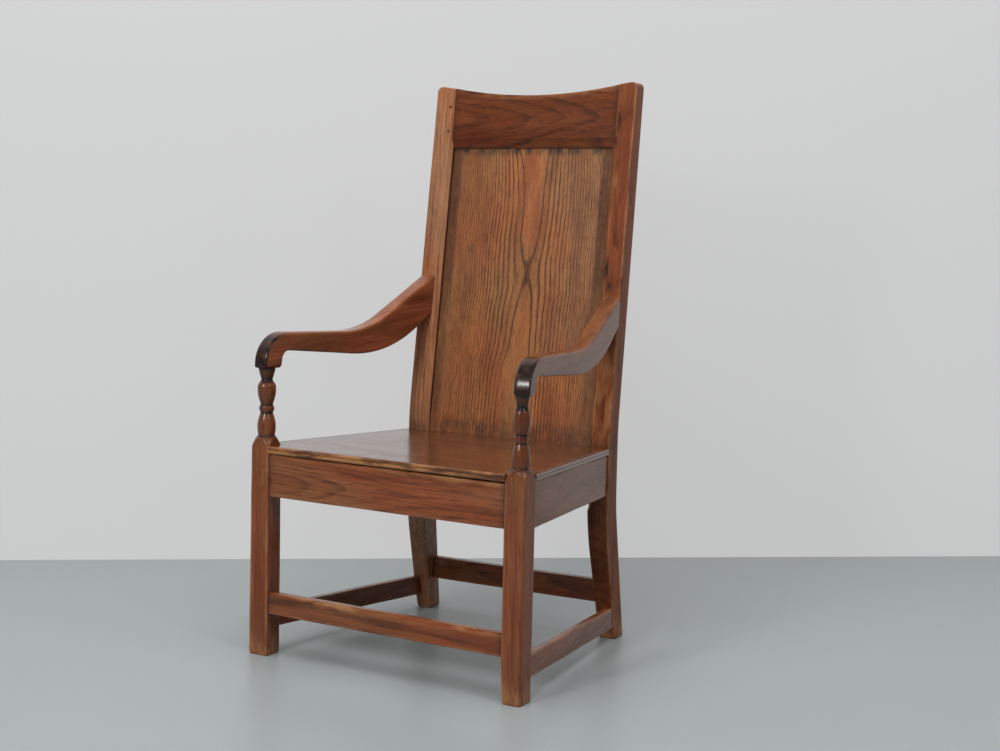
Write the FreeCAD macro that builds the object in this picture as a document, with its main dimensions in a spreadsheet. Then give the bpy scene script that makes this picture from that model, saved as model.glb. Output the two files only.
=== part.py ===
"""Joined oak and ash armchair with a tall leaning panel back, in millimetres.

The chair faces -Y and +X is the sitter's left. Heights are over the floor. Depths are measured from
the front faces of the front legs while the pieces are made, and the finished chair is then set
with the middle of its footprint at the origin.
"""
import os
import re

import FreeCAD
import Part
import Sketcher

# Driving sizes: millimetres, and degrees where the name says slope, lean, rake or turn
SIZES = {
    # Whole frame
    "front_width": 632.0,
    "back_width": 508.0,
    "back_face": 475.0,
    "seat_height": 430.0,
    "seat_slope": 1.2,
    "fit": 0.2,
    "overrun": 5.0,
    # Front legs with their turned arm supports
    "leg_section": 43.0,
    "leg_arris": 2.0,
    "left_leg_corner": 9.0,
    "right_leg_corner": 3.0,
    "left_leg_flare": 0.0,
    "right_leg_flare": 4.0,
    "left_foot_taper": 5.0,
    "right_foot_taper": 0.0,
    "foot_height": 75.0,
    "foot_inset": 1.0,
    "left_square": 432.0,
    "right_square": 440.0,
    "pommel_drop": 15.0,
    "arm_pin_radius": 7.0,
    "arm_pin_length": 26.0,
    # Back stiles
    "stile_width": 49.0,
    "stile_depth": 42.5,
    "stile_top_depth": 35.0,
    "stile_lean": 0.31,
    "kink_height": 460.0,
    "kink_radius": 600.0,
    "back_lean": 7.07,
    "heel_height": 235.0,
    "heel_radius": 450.0,
    "rear_rake": 12.2,
    "foot_depth": 40.0,
    "calf_height": 310.0,
    "calf_taper": 11.0,
    "chamfer_width": 8.0,
    "chamfer_stop": 288.0,
    # Back between the stiles, measured along its slope from the bend in the stiles
    "back_rise": 725.5,
    "dish_depth": 20.0,
    "horn_slope": 11.4,
    "horn_radius": 16.0,
    "crest_height": 135.5,
    "crest_thickness": 27.0,
    "crest_setback": 5.0,
    "crest_bevel_height": 21.0,
    "crest_bevel_depth": 6.0,
    "panel_thickness": 10.0,
    "panel_recess": 14.0,
    "panel_groove": 8.0,
    "panel_bevel_width": 28.0,
    "panel_bevel_depth": 3.0,
    # Seat board and seat rails
    "seat_thickness": 15.0,
    "seat_nosing": 5.0,
    "rail_thickness": 24.0,
    "rail_setback": 3.0,
    "rail_arris": 4.0,
    "front_rail_bottom": 327.5,
    "side_rail_fall": 8.0,
    "back_rail_height": 80.0,
    "back_rail_thickness": 30.0,
    # Stretchers
    "stretcher_thickness": 24.0,
    "stretcher_setback": 3.0,
    "stretcher_wear": 7.0,
    "front_stretcher_height": 44.0,
    "front_stretcher_bottom": 87.0,
    "side_stretcher_thickness": 16.0,
    "left_stretcher_height": 45.0,
    "left_stretcher_front": 45.5,
    "left_stretcher_back": 26.0,
    "right_stretcher_height": 42.5,
    "right_stretcher_front": 48.0,
    "right_stretcher_back": 32.5,
    "back_stretcher_height": 49.0,
    "back_stretcher_bottom": 76.0,
    "back_stretcher_fall": 4.0,
    "back_stretcher_thickness": 19.0,
    # Arms
    "arm_front_width": 33.0,
    "arm_back_width": 37.0,
    "arm_overhang": 20.0,
    "arm_arris": 4.0,
    "arm_under_arris": 2.5,
    "left_arm_height": 576.0,
    "right_arm_height": 585.0,
    "hand_reach": 13.5,
    "left_hand_back": 15.0,
    "right_hand_back": 30.0,
    "hand_height": 66.5,
    "hand_radius": 62.0,
    "left_hand_fall": 2.5,
    "right_hand_fall": 7.0,
    "grip_height": 32.0,
    "grip_flare": 6.0,
    "grip_radius": 19.0,
    "left_waist_height": 9.0,
    "right_waist_height": 5.0,
    "left_arm_rise": 158.0,
    "right_arm_rise": 176.0,
    "arm_under_rise": 95.0,
    "left_arm_bend": 300.0,
    "right_arm_bend": 284.0,
    "arm_under_bend": 352.0,
    "arm_bend_radius": 260.0,
    "arm_under_radius": 330.0,
    "arm_tenon_height": 34.0,
    # Mortise and tenon joints and their pegs
    "tenon_thickness": 9.0,
    "tenon_length": 27.0,
    "short_tenon": 21.0,
    "tenon_shoulder": 6.0,
    "tenon_root": 12.0,
    "peg_radius": 3.5,
    "peg_length": 27.0,
    "peg_fit": 0.1,
    "peg_inset": 11.0,
    "nail_radius": 2.2,
    "nail_length": 32.0,
    "nail_sink": 0.8,
    "nail_inset": 12.0,
}

# Places that follow from the driving sizes, written with their names
DERIVED = {
    "half_front": "front_width / 2",
    "leg_inner": "half_front - leg_section",
    "leg_axis": "half_front - leg_section / 2",
    "leg_middle": "leg_section / 2",
    "half_back": "back_width / 2",
    "stile_pitch": "tan(stile_lean)",
    "seat_pitch": "tan(seat_slope)",
    "seat_under": "seat_height - seat_thickness / cos(seat_slope)",
    "seat_shift": "seat_thickness * sin(seat_slope)",
    "back_rail_top": "seat_under - back_face * seat_pitch",
    "back_rail_bottom": "back_rail_top - back_rail_height",
    "heel_run": "heel_height * tan(rear_rake)",
    "foot_front": "back_face + heel_run",
    "calf_pitch": "(heel_run + foot_depth - stile_depth) / chamfer_stop",
    "back_stretcher_top": "back_stretcher_bottom + back_stretcher_height",
    "bevel_left_at_groove": "panel_bevel_depth * (1 - panel_groove / panel_bevel_width)",
    "panel_foot_run": "(kink_height - back_rail_top) * tan(back_lean)",
    "panel_front": "back_face + panel_recess / cos(back_lean) - panel_foot_run",
    "panel_bottom": "(back_rail_top - panel_groove - kink_height) / cos(back_lean)",
    "crest_bottom": "back_rise - crest_height",
    "panel_top": "crest_bottom + panel_groove",
}

# The turned arm supports, upwards from the leg's square: share of the height, shares of half the
# leg's section as the radius on the left and the right, and the bulge of the curve that leads there
TURNING_SHARES = [
    (0.00, 0.90, 0.92, 0.0),
    (0.045, 0.90, 0.92, 0.0),
    (0.055, 0.74, 0.80, 0.0),
    (0.36, 0.60, 0.64, 0.13),
    (0.385, 0.64, 0.66, 0.0),
    (0.42, 0.70, 0.73, 0.0),
    (0.455, 0.64, 0.66, 0.0),
    (0.48, 0.60, 0.65, 0.0),
    (0.57, 0.72, 0.80, 0.0),
    (0.75, 0.71, 0.82, 0.05),
    (0.768, 0.58, 0.62, 0.0),
    (0.845, 0.54, 0.55, 0.0),
    (1.00, 0.76, 0.79, 0.0),
]

# Rise of a quarter round over its chord, as a share of its radius
ROUND_SHARE = 0.293

# Heights of the two pegs of a tall tenon, as shares of the tenon's height
PEG_SHARES = (0.25, 0.75)

# Seat nails: across, behind the front edge, and the rail that each one holds to
NAILS = {
    "front_left": ("(leg_inner - 2 * nail_inset)", "(rail_setback + nail_inset)", "front_seat_rail"),
    "front_right": ("-(leg_inner - 2 * nail_inset)", "(rail_setback + nail_inset)", "front_seat_rail"),
    "front_middle": ("0", "(rail_setback + nail_inset)", "front_seat_rail"),
}

SIDES = {"left": 1, "right": -1}

# Pattern of a size's name inside a sum
NAME = r"\b[a-z_]+\b"

document = FreeCAD.newDocument("armchair")
sheet = document.addObject("Spreadsheet::Sheet", "sizes")
for row, (alias, number) in enumerate(SIZES.items(), 1):
    sheet.set(f"A{row}", alias)
    sheet.set(f"B{row}", str(number))
    sheet.setAlias(f"B{row}", alias)
document.recompute()


def bound(text):
    """Returns an expression on the sheet's cells for a sum written with size names."""
    while True:
        wider = re.sub(NAME, lambda word: f"({DERIVED[word[0]]})" if word[0] in DERIVED else word[0], text)
        if wider == text:
            break
        text = wider
    return re.sub(NAME, lambda word: f"sizes.{word[0]}" if word[0] in SIZES else word[0], text)


def value(text):
    """Returns the number that such a sum has now."""
    result = sheet.evalExpression(bound(text))
    return float(getattr(result, "Value", result))


def stile_inner(height):
    """Returns the half width between the stiles at a height, for they lean together upwards."""
    return f"(half_back - stile_width - ({height}) * stile_pitch)"


def stile_outer(height):
    """Returns the half width over the stiles at a height."""
    return f"(half_back - ({height}) * stile_pitch)"


def leg_outer(name, height):
    """Returns the half width over the front legs at a height, for one of them flares downwards."""
    return f"(half_front + {name}_leg_flare * (1 - ({height}) / {name}_square))"


def calf_inner(height):
    """Returns the half width between the rear legs at a height, where they taper to the floor."""
    return f"({stile_inner(height)} + calf_taper * (1 - ({height}) / calf_height))"


def rear_leg_face(height):
    """Returns the depth of the raked front face of a rear leg at a height."""
    return f"(back_face + (heel_height - ({height})) * tan(rear_rake))"


def rear_leg_back(height):
    """Returns the depth of the back face of a rear leg at a height."""
    return f"(back_face + stile_depth + (chamfer_stop - ({height})) * calf_pitch)"


def leaning_height(rise, depth):
    """Returns the height over the floor of a point in the leaning back."""
    return f"(kink_height + ({rise}) * cos(back_lean) - ({depth}) * sin(back_lean))"


def leaning_depth(rise, depth):
    """Returns the distance behind the legs' front faces of a point in the leaning back."""
    return f"(back_face + ({rise}) * sin(back_lean) + ({depth}) * cos(back_lean))"


# Helpers that make features whose sizes follow the sheet
def new_body(name):
    body = document.addObject("PartDesign::Body", name)
    body.Label = name
    return body


def bind(target, name, text):
    """Ties one property to a sum of the sheet's sizes."""
    target.setExpression(name, bound(text))


def place(target, prop, base, axis=(1, 0, 0), turn="0"):
    """Ties a placement to the sheet: a base point, and a turn about one fixed axis."""
    start = FreeCAD.Vector(value(base[0]), value(base[1]), value(base[2]))
    turning = FreeCAD.Rotation(FreeCAD.Vector(*axis), value(turn) or 1.0)
    setattr(target, prop, FreeCAD.Placement(start, turning))
    for letter, text in zip("xyz", base):
        bind(target, f"{prop}.Base.{letter}", text)
    bind(target, f"{prop}.Rotation.Angle", turn)


def draw(sketch, corners):
    """Draws a closed outline through the corners, with a curve to each corner that gives a bulge.

    A corner is x, y and, for a curve, the height of its arc over the chord from the corner before,
    positive to the right of the way along the outline.
    """
    points = [FreeCAD.Vector(value(corner[0]), value(corner[1]), 0) for corner in corners]
    ends = []
    for index, corner in enumerate(corners):
        start = points[index - 1]
        end = points[index]
        if len(corner) > 2:
            along = end - start
            aside = FreeCAD.Vector(along.y, -along.x, 0).normalize()
            middle = (start + end) * 0.5 + aside * value(corner[2])
            edge = Part.Arc(start, middle, end)
        else:
            edge = Part.LineSegment(start, end)
        sketch.addGeometry(edge, False)
        reach = [sketch.getPoint(index, tip).distanceToPoint(end) for tip in (1, 2)]
        ends.append((2, 1) if reach[0] < reach[1] else (1, 2))
    for index, corner in enumerate(corners):
        following = (index + 1) % len(corners)
        tail = ends[index][1]
        sketch.addConstraint(Sketcher.Constraint("Coincident", index, tail, following, ends[following][0]))
        for kind, axis, text, now in (("DistanceX", -2, corner[0], points[index].x),
                                      ("DistanceY", -1, corner[1], points[index].y)):
            if text == "0":
                sketch.addConstraint(Sketcher.Constraint("PointOnObject", index, tail, axis))
                continue
            number = sketch.addConstraint(Sketcher.Constraint(kind, -1, 1, index, tail, now))
            bind(sketch, f"Constraints[{number}]", text)
        if len(corner) > 2:
            before = corners[index - 1]
            chord = f"(({corner[0]} - ({before[0]})) ^ 2 + ({corner[1]} - ({before[1]})) ^ 2)"
            radius = f"{chord} / (8 * abs({corner[2]})) + abs({corner[2]}) / 2"
            number = sketch.addConstraint(Sketcher.Constraint("Radius", index, value(radius)))
            bind(sketch, f"Constraints[{number}]", radius)


def new_sketch(body, name, role, base, corners, turn="0", axis=(1, 0, 0)):
    """Attaches a sketch to one of the body's own planes, set off and turned from it."""
    sketch = body.newObject("Sketcher::SketchObject", f"{body.Name}_{name}")
    support = next(feature for feature in body.Origin.OriginFeatures if feature.Role == role)
    sketch.AttachmentSupport = [(support, "")]
    sketch.MapMode = "FlatFace"
    place(sketch, "AttachmentOffset", base, axis, turn)
    draw(sketch, corners)
    document.recompute()
    return sketch


def front_sketch(body, name, depth, corners):
    """A sketch in X and height, at a depth behind the legs' front faces."""
    return new_sketch(body, name, "XZ_Plane", ("0", "0", f"-({depth})"), corners)


def leaning_sketch(body, name, depth, corners):
    """A sketch in X and rise on the slope of the back, at a depth behind the stiles' front faces."""
    base = ("0", f"kink_height - ({depth}) * sin(back_lean)", f"-(back_face + ({depth}) * cos(back_lean))")
    return new_sketch(body, name, "XZ_Plane", base, corners, turn="-back_lean")


def side_sketch(body, name, corners, base=("0", "0", "0"), turn="0", axis=(1, 0, 0)):
    """A sketch in depth and height, on the middle plane of the chair or set off from it."""
    return new_sketch(body, name, "YZ_Plane", base, corners, turn, axis)


def plan_sketch(body, name, height, corners, turn="0"):
    """A sketch in X and depth at a height."""
    return new_sketch(body, name, "XY_Plane", ("0", "0", height), corners, turn)


def pad(body, sketch, length, backwards=False, both=False):
    """Raises wood along the sketch's normal, against it, or half to either side."""
    feature = body.newObject("PartDesign::Pad", f"{sketch.Name}_pad")
    feature.Profile = sketch
    feature.Reversed = backwards
    feature.Midplane = both
    bind(feature, "Length", length)
    document.recompute()


def check_cut(body, feature, before):
    """Stops if a cut has left the body as large as it was."""
    if body.Shape.Volume >= before:
        raise RuntimeError(f"{feature.Name} cut nothing")


def pocket(body, sketch, length=None):
    """Cuts away from the sketch's normal, to a depth or through everything."""
    before = body.Shape.Volume
    feature = body.newObject("PartDesign::Pocket", f"{sketch.Name}_pocket")
    feature.Profile = sketch
    if length is None:
        feature.Type = "ThroughAll"
    else:
        bind(feature, "Length", length)
    document.recompute()
    check_cut(body, feature, before)


def turned(body, sketch, kind):
    """Turns a profile about the sketch's upright axis, as added or as cut wood."""
    before = body.Shape.Volume
    feature = body.newObject(kind, f"{sketch.Name}_turned")
    feature.Profile = sketch
    feature.ReferenceAxis = (sketch, ["V_Axis"])
    feature.Angle = 360
    document.recompute()
    if kind == "PartDesign::Groove":
        check_cut(body, feature, before)


def loft(body, first, last):
    feature = body.newObject("PartDesign::AdditiveLoft", f"{first.Name}_loft")
    feature.Profile = first
    feature.Sections = [last]
    feature.Ruled = True
    document.recompute()


def block(body, name, corner, span, turn="0", kind="PartDesign::SubtractiveBox"):
    """Cuts or adds a square block, turned about its lower front edge."""
    before = body.Shape.Volume
    feature = body.newObject(kind, f"{body.Name}_{name}")
    for prop, text in zip(("Length", "Width", "Height"), span):
        bind(feature, prop, text)
    place(feature, "Placement", corner, turn=turn)
    document.recompute()
    if kind == "PartDesign::SubtractiveBox":
        check_cut(body, feature, before)


def edges_through(body, *points):
    """Finds the edges of a body that pass through the given places."""
    shape = body.Shape
    names = []
    for point in points:
        spot = Part.Vertex(FreeCAD.Vector(*[value(text) for text in point]))
        near = min(range(len(shape.Edges)), key=lambda number: shape.Edges[number].distToShape(spot)[0])
        names.append(f"Edge{near + 1}")
    return sorted(set(names))


def soften(body, name, edges, size, kind="PartDesign::Fillet"):
    """Rounds or chamfers some edges of the body's last feature."""
    tip = body.Tip
    feature = body.newObject(kind, f"{body.Name}_{name}")
    feature.Base = (tip, edges)
    bind(feature, "Radius" if kind == "PartDesign::Fillet" else "Size", size)
    document.recompute()


def tenon(member, post, name, corner, span, turn="0"):
    """Gives the member a tenon and the post its mortise, wider all round by the fit."""
    block(member, f"{name}_tenon", corner, span, turn, "PartDesign::AdditiveBox")
    wide_corner = [f"{text} - fit" for text in corner]
    wide_span = [f"{text} + 2 * fit" for text in span]
    block(post, f"{name}_mortise", wide_corner, wide_span, turn)


pegs = {}


def peg(group, bodies, name, base, axis, turn, length="peg_length", radius="peg_radius", sides=8):
    """Drives one riven peg or cut nail into the bodies, in a hole made from outside, wider by a fit."""
    pin = document.addObject("Part::Prism", name)
    pin.Polygon = sides
    bind(pin, "Circumradius", radius)
    bind(pin, "Height", length)
    place(pin, "Placement", base, axis, turn)
    pegs.setdefault(group, []).append(pin)
    out_up = f"{base[2]} - overrun * cos({turn})"
    if axis[0]:
        start = (base[0], f"{base[1]} + overrun * sin({turn})", out_up)
    else:
        start = (f"{base[0]} - overrun * sin({turn})", base[1], out_up)
    for body in bodies:
        before = body.Shape.Volume
        hole = body.newObject("PartDesign::SubtractivePrism", f"{body.Name}_{name}")
        hole.Polygon = sides
        bind(hole, "Circumradius", f"{radius} + peg_fit")
        bind(hole, "Height", f"{length} + overrun")
        place(hole, "Placement", start, axis, turn)
        document.recompute()
        check_cut(body, hole, before)


# Front legs: a square post worn round at its outer front corner, and the turned arm support above
def leg_outline(name, side, height, inset="0", taper="0"):
    """The leg's square with its arrises taken off, its outer front corner worn round."""
    inner = f"(leg_inner + {inset} + {taper})"
    outer = f"({leg_outer(name, height)} - {inset})"
    back = f"(leg_section - {inset})"
    corner = f"{name}_leg_corner"
    corners = [
        (f"{outer} - leg_arris", back),
        (outer, f"{back} - leg_arris"),
        (outer, f"{inset} + {corner}"),
        (f"{outer} - {corner}", inset, f"{ROUND_SHARE} * {corner}"),
        (f"{inner} + leg_arris", inset),
        (inner, f"{inset} + leg_arris"),
        (inner, f"{back} - leg_arris"),
        (f"{inner} + leg_arris", back),
    ]
    return mirrored(corners, side)


def mirrored(corners, side):
    """Moves an outline drawn clockwise on the left side to the side asked for."""
    flipped = []
    for x, y, *bulge in corners:
        if side > 0:
            flipped.append((x, y, *[f"-({text})" for text in bulge]))
        else:
            flipped.append((f"-({x})", y, *bulge))
    return flipped


def front_leg(name, side):
    body = new_body(f"front_leg_{name}")
    square = f"{name}_square"
    support_height = f"({name}_arm_height - {square})"
    half = "(leg_section / 2)"
    outlines = [
        ("sole", "0", leg_outline(name, side, "0", "foot_inset", f"{name}_foot_taper")),
        ("ankle", "foot_height", leg_outline(name, side, "foot_height")),
        ("post", "foot_height", leg_outline(name, side, "foot_height")),
        ("top", square, leg_outline(name, side, square)),
    ]
    sole, ankle, post, top = [plan_sketch(body, *outline) for outline in outlines]
    loft(body, sole, ankle)
    loft(body, post, top)
    axis_base = (f"{side} * leg_axis", "0", "-leg_middle")
    hand = 1 if side > 0 else 2
    collar = f"{half} * {TURNING_SHARES[0][hand]}"
    pommel = [
        (f"{half} * 1.5", square),
        (f"{half} * 1.5", f"{square} - pommel_drop"),
        (collar, square),
    ]
    turned(body, new_sketch(body, "pommel", "XZ_Plane", axis_base, pommel), "PartDesign::Groove")
    profile = [("0", square)]
    for shares in TURNING_SHARES:
        corner = (f"{half} * {shares[hand]}", f"{square} + {shares[0]} * {support_height}")
        if shares[3]:
            corner = (*corner, f"{half} * {shares[3]}")
        profile.append(corner)
    profile.append(("arm_pin_radius", f"{name}_arm_height"))
    profile.append(("arm_pin_radius", f"{name}_arm_height + arm_pin_length"))
    profile.append(("0", f"{name}_arm_height + arm_pin_length"))
    turned(body, new_sketch(body, "support", "XZ_Plane", axis_base, profile), "PartDesign::Revolution")
    return body


# Back stiles: one plank-sawn curve each, leaning back above the seat and raked below it
def back_stile(name, side):
    body = new_body(f"back_stile_{name}")
    base = ("0", "0", f"{side} * half_back")
    lean = f"-{side} * stile_lean"
    back = "(back_face + stile_depth)"
    tip = "(back_rise + stile_width * tan(horn_slope) + overrun)"
    tip_depth = "stile_top_depth"
    upper = [
        ("back_face", "chamfer_stop"),
        ("back_face", "kink_height"),
        (leaning_depth(tip, "0"), leaning_height(tip, "0")),
        (leaning_depth(tip, tip_depth), leaning_height(tip, tip_depth)),
        (back, "kink_height - stile_depth * tan(back_lean / 2)"),
        (back, "chamfer_stop"),
    ]
    pad(body, side_sketch(body, "back", upper, base, lean), "stile_width", backwards=side > 0)
    middle = f"{side} * (half_back - stile_width / 2)"
    kinks = edges_through(body, (middle, *upper[1]), (middle, *upper[4]))
    soften(body, "bend", kinks, "kink_radius")
    inner = f"{side} * {stile_inner('kink_height')}"
    low = edges_through(body, (inner, "back_face", "(kink_height + chamfer_stop) / 2"))
    soften(body, "chamfer", low, "chamfer_width", "PartDesign::Chamfer")
    lower = [
        ("back_face", "chamfer_stop"),
        (back, "chamfer_stop"),
        (rear_leg_back("-overrun"), "-overrun"),
        (rear_leg_face("-overrun"), "-overrun"),
        ("back_face", "heel_height"),
    ]
    pad(body, side_sketch(body, "leg", lower, base, lean), "stile_width", backwards=side > 0)
    heels = edges_through(body, (middle, *lower[4]), (middle, *lower[1]))
    soften(body, "heel", heels, "heel_radius")
    under = ("-half_front", "0", "-4 * overrun")
    block(body, "floor", under, ("front_width", "2 * back_face", "4 * overrun"))
    calf = [
        (f"{side} * {stile_inner('calf_height')}", "calf_height"),
        (f"{side} * {calf_inner('-overrun')}", "-overrun"),
        (f"{side} * ({stile_inner('0')} - overrun)", "-overrun"),
        (f"{side} * ({stile_inner('0')} - overrun)", "calf_height"),
    ]
    pocket(body, front_sketch(body, "calf", "0", calf))
    top_outer = stile_outer(leaning_height("back_rise", "0"))
    top_inner = stile_inner(leaning_height("back_rise", "0"))
    horn = "(back_rise + stile_width * tan(horn_slope))"
    above = [
        (f"{side} * ({top_inner} - overrun)", "back_rise - overrun * tan(horn_slope)"),
        (f"{side} * ({top_outer} + overrun)", f"{horn} + overrun * tan(horn_slope)"),
        (f"{side} * ({top_outer} + overrun)", f"{horn} + 4 * overrun"),
        (f"{side} * ({top_inner} - overrun)", f"{horn} + 4 * overrun"),
    ]
    pocket(body, leaning_sketch(body, "horn", "-overrun", above))
    shoulder = (leaning_depth(horn, "stile_top_depth / 2"), leaning_height(horn, "stile_top_depth / 2"))
    soften(body, "horn", edges_through(body, (f"{side} * {top_outer}", *shoulder)), "horn_radius")
    groove_low = stile_inner(leaning_height("panel_bottom", "panel_recess"))
    groove_high = stile_inner(leaning_height("panel_top", "panel_recess"))
    groove = [
        (f"{side} * ({groove_low} - overrun)", "panel_bottom - fit"),
        (f"{side} * ({groove_low} + panel_groove)", "panel_bottom - fit"),
        (f"{side} * ({groove_high} + panel_groove)", "panel_top"),
        (f"{side} * ({groove_high} - overrun)", "panel_top"),
    ]
    front_wall = "panel_recess + bevel_left_at_groove - fit"
    pocket(body, leaning_sketch(body, "groove", front_wall, groove),
           "panel_thickness - bevel_left_at_groove + 2 * fit")
    return body


# Crest rail: dished along its top, bevelled along its lower front edge, grooved for the panel
def crest_rail(stiles):
    body = new_body("crest_rail")
    low = stile_inner(leaning_height("crest_bottom", "crest_setback"))
    high = stile_inner(leaning_height("back_rise", "crest_setback"))
    outline = [
        (f"-{low}", "crest_bottom"),
        (low, "crest_bottom"),
        (high, "back_rise"),
        (f"-{high}", "back_rise", "-dish_depth"),
    ]
    pad(body, leaning_sketch(body, "board", "crest_setback", outline), "crest_thickness", backwards=True)
    wedge = [
        ("crest_bottom + 2 * crest_bevel_height", "crest_setback - crest_bevel_depth"),
        ("crest_bottom - crest_bevel_height", "crest_setback - crest_bevel_depth"),
        ("crest_bottom - crest_bevel_height", "crest_setback + 2 * crest_bevel_depth"),
    ]
    corners = [(leaning_depth(*corner), leaning_height(*corner)) for corner in wedge]
    pocket(body, side_sketch(body, "bevel", corners, ("0", "0", "half_back")))
    start = ("panel_bottom", "panel_recess - fit")
    corner = ("-half_back", leaning_depth(*start), leaning_height(*start))
    span = ("back_width", "panel_thickness + 2 * fit", "panel_top - panel_bottom")
    block(body, "groove", corner, span, "-back_lean")
    first = ("crest_bottom + panel_groove + tenon_shoulder", "crest_setback + crest_thickness / 3")
    height = "crest_height - panel_groove - 3 * tenon_shoulder"
    for name, side in SIDES.items():
        inner = stile_inner(leaning_height(*first))
        x = f"({inner} - overrun)" if side > 0 else f"-({inner} + tenon_length)"
        corner = (x, leaning_depth(*first), leaning_height(*first))
        span = ("tenon_length + overrun", "tenon_thickness", height)
        tenon(body, stiles[name], f"crest_{name}", corner, span, "-back_lean")
        for number, share in enumerate(PEG_SHARES, 1):
            rise = f"(crest_bottom + panel_groove + tenon_shoulder + {share} * ({height}))"
            across = f"{side} * ({stile_inner(leaning_height(rise, '0'))} + peg_inset)"
            base = (across, leaning_depth(rise, "0"), leaning_height(rise, "0"))
            title = f"crest_peg_{name}_{number}"
            peg("crest_pegs", (stiles[name], body), title, base, (1, 0, 0), "-90 - back_lean")


# Back panel: one plain board, bevelled at both sides to slip into the grooves of the stiles
def back_panel():
    body = new_body("back_panel")

    def outline(depth, inset):
        low = f"({stile_inner(leaning_height('panel_bottom', depth))} + panel_groove - fit - {inset})"
        high = f"({stile_inner(leaning_height('panel_top', depth))} + panel_groove - fit - {inset})"
        top = "panel_top - fit"
        return [(f"-{low}", "panel_bottom"), (low, "panel_bottom"), (high, top), (f"-{high}", top)]

    behind = "panel_recess + panel_bevel_depth"
    field = leaning_sketch(body, "field", "panel_recess", outline("panel_recess", "panel_bevel_width"))
    edge = leaning_sketch(body, "edge", behind, outline(behind, "0"))
    loft(body, field, edge)
    board = leaning_sketch(body, "board", behind, outline(behind, "0"))
    pad(body, board, "panel_thickness - panel_bevel_depth", backwards=True)


# Seat rails, tenoned into legs and stiles, their tops planed to the slope of the seat
def bed(rail):
    """Planes the top of a seat rail to the underside of the seat."""
    span = ("front_width", "2 * back_face", "back_rail_height")
    block(rail, "bed", ("-half_front", "0", "seat_under"), span, "-seat_slope")


def cross_tenon(rail, post, name, side, inner, depth, bottom, height):
    """A tenon that runs sideways, from a shoulder at the post's inner face."""
    x = f"({inner} - overrun)" if side > 0 else f"-({inner} + tenon_length)"
    corner = (x, depth, f"{bottom} + tenon_shoulder")
    span = ("tenon_length + overrun", "tenon_thickness", f"{height} - 2 * tenon_shoulder")
    tenon(rail, post, name, corner, span)


def long_tenon(rail, post, name, middle, depth, bottom, height):
    """A tenon that runs front to back, about a middle across, from a depth."""
    corner = (f"{middle} - tenon_thickness / 2", depth, f"{bottom} + tenon_shoulder")
    span = ("tenon_thickness", "short_tenon + tenon_root", f"{height} - 2 * tenon_shoulder")
    tenon(rail, post, name, corner, span)


def side_peg(group, bodies, name, side, face, depth, height):
    """A peg driven from a post's outer face towards the middle of the chair."""
    peg(group, bodies, name, (f"{side} * {face}", depth, height), (0, 1, 0), f"-90 * {side}")


def front_seat_rail(legs):
    body = new_body("front_seat_rail")
    outline = [
        ("-leg_inner", "front_rail_bottom"),
        ("leg_inner", "front_rail_bottom"),
        ("leg_inner", "seat_under"),
        ("-leg_inner", "seat_under"),
    ]
    pad(body, front_sketch(body, "board", "rail_setback", outline), "rail_thickness", backwards=True)
    bed(body)
    arris = edges_through(body, ("0", "rail_setback", "seat_under - rail_setback * seat_pitch"))
    soften(body, "arris", arris, "rail_arris")
    height = "(seat_under - front_rail_bottom - tenon_shoulder)"
    for name, side in SIDES.items():
        depth = "rail_setback + rail_thickness / 3"
        cross_tenon(body, legs[name], f"front_{name}", side, "leg_inner", depth, "front_rail_bottom", height)
        for number, share in enumerate(PEG_SHARES, 1):
            base = (f"{side} * (leg_inner + peg_inset)", "0", f"front_rail_bottom + {share} * {height}")
            title = f"front_rail_peg_{name}_{number}"
            peg("seat_rail_pegs", (legs[name], body), title, base, (1, 0, 0), "-90")


def side_seat_rail(name, side, leg, stile):
    body = new_body(f"side_seat_rail_{name}")
    rear = "(front_rail_bottom - side_rail_fall)"
    ends = [
        ("leg_section", "(half_front - rail_setback)", "front_rail_bottom"),
        ("back_face", f"({stile_outer('seat_under')} - rail_setback)", rear),
    ]
    sketches = []
    for depth, outer, bottom in ends:
        inner = f"({outer} - rail_thickness)"
        corners = [
            (f"{side} * {outer}", bottom),
            (f"{side} * {outer}", "seat_under"),
            (f"{side} * {inner}", "seat_under"),
            (f"{side} * {inner}", bottom),
        ]
        sketches.append(front_sketch(body, f"end_{len(sketches)}", depth, corners))
    loft(body, *sketches)
    bed(body)
    starts = ["leg_section - short_tenon", "back_face - tenon_root"]
    tops = ["(seat_under - leg_section * seat_pitch)", "back_rail_top"]
    for number, post in enumerate((leg, stile)):
        depth, outer, bottom = ends[number]
        middle = f"{side} * ({outer} - rail_thickness / 2)"
        height = f"({tops[number]} - {bottom})"
        long_tenon(body, post, f"side_rail_{number}", middle, starts[number], bottom, height)
    height = f"(seat_under + {rear}) / 2"
    side_peg("seat_rail_pegs", (leg, body), f"side_rail_peg_{name}_front", side, leg_outer(name, height),
             "leg_section - peg_inset", height)
    side_peg("seat_rail_pegs", (stile, body), f"side_rail_peg_{name}_rear", side, stile_outer(height),
             "back_face + peg_inset", height)


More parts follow.
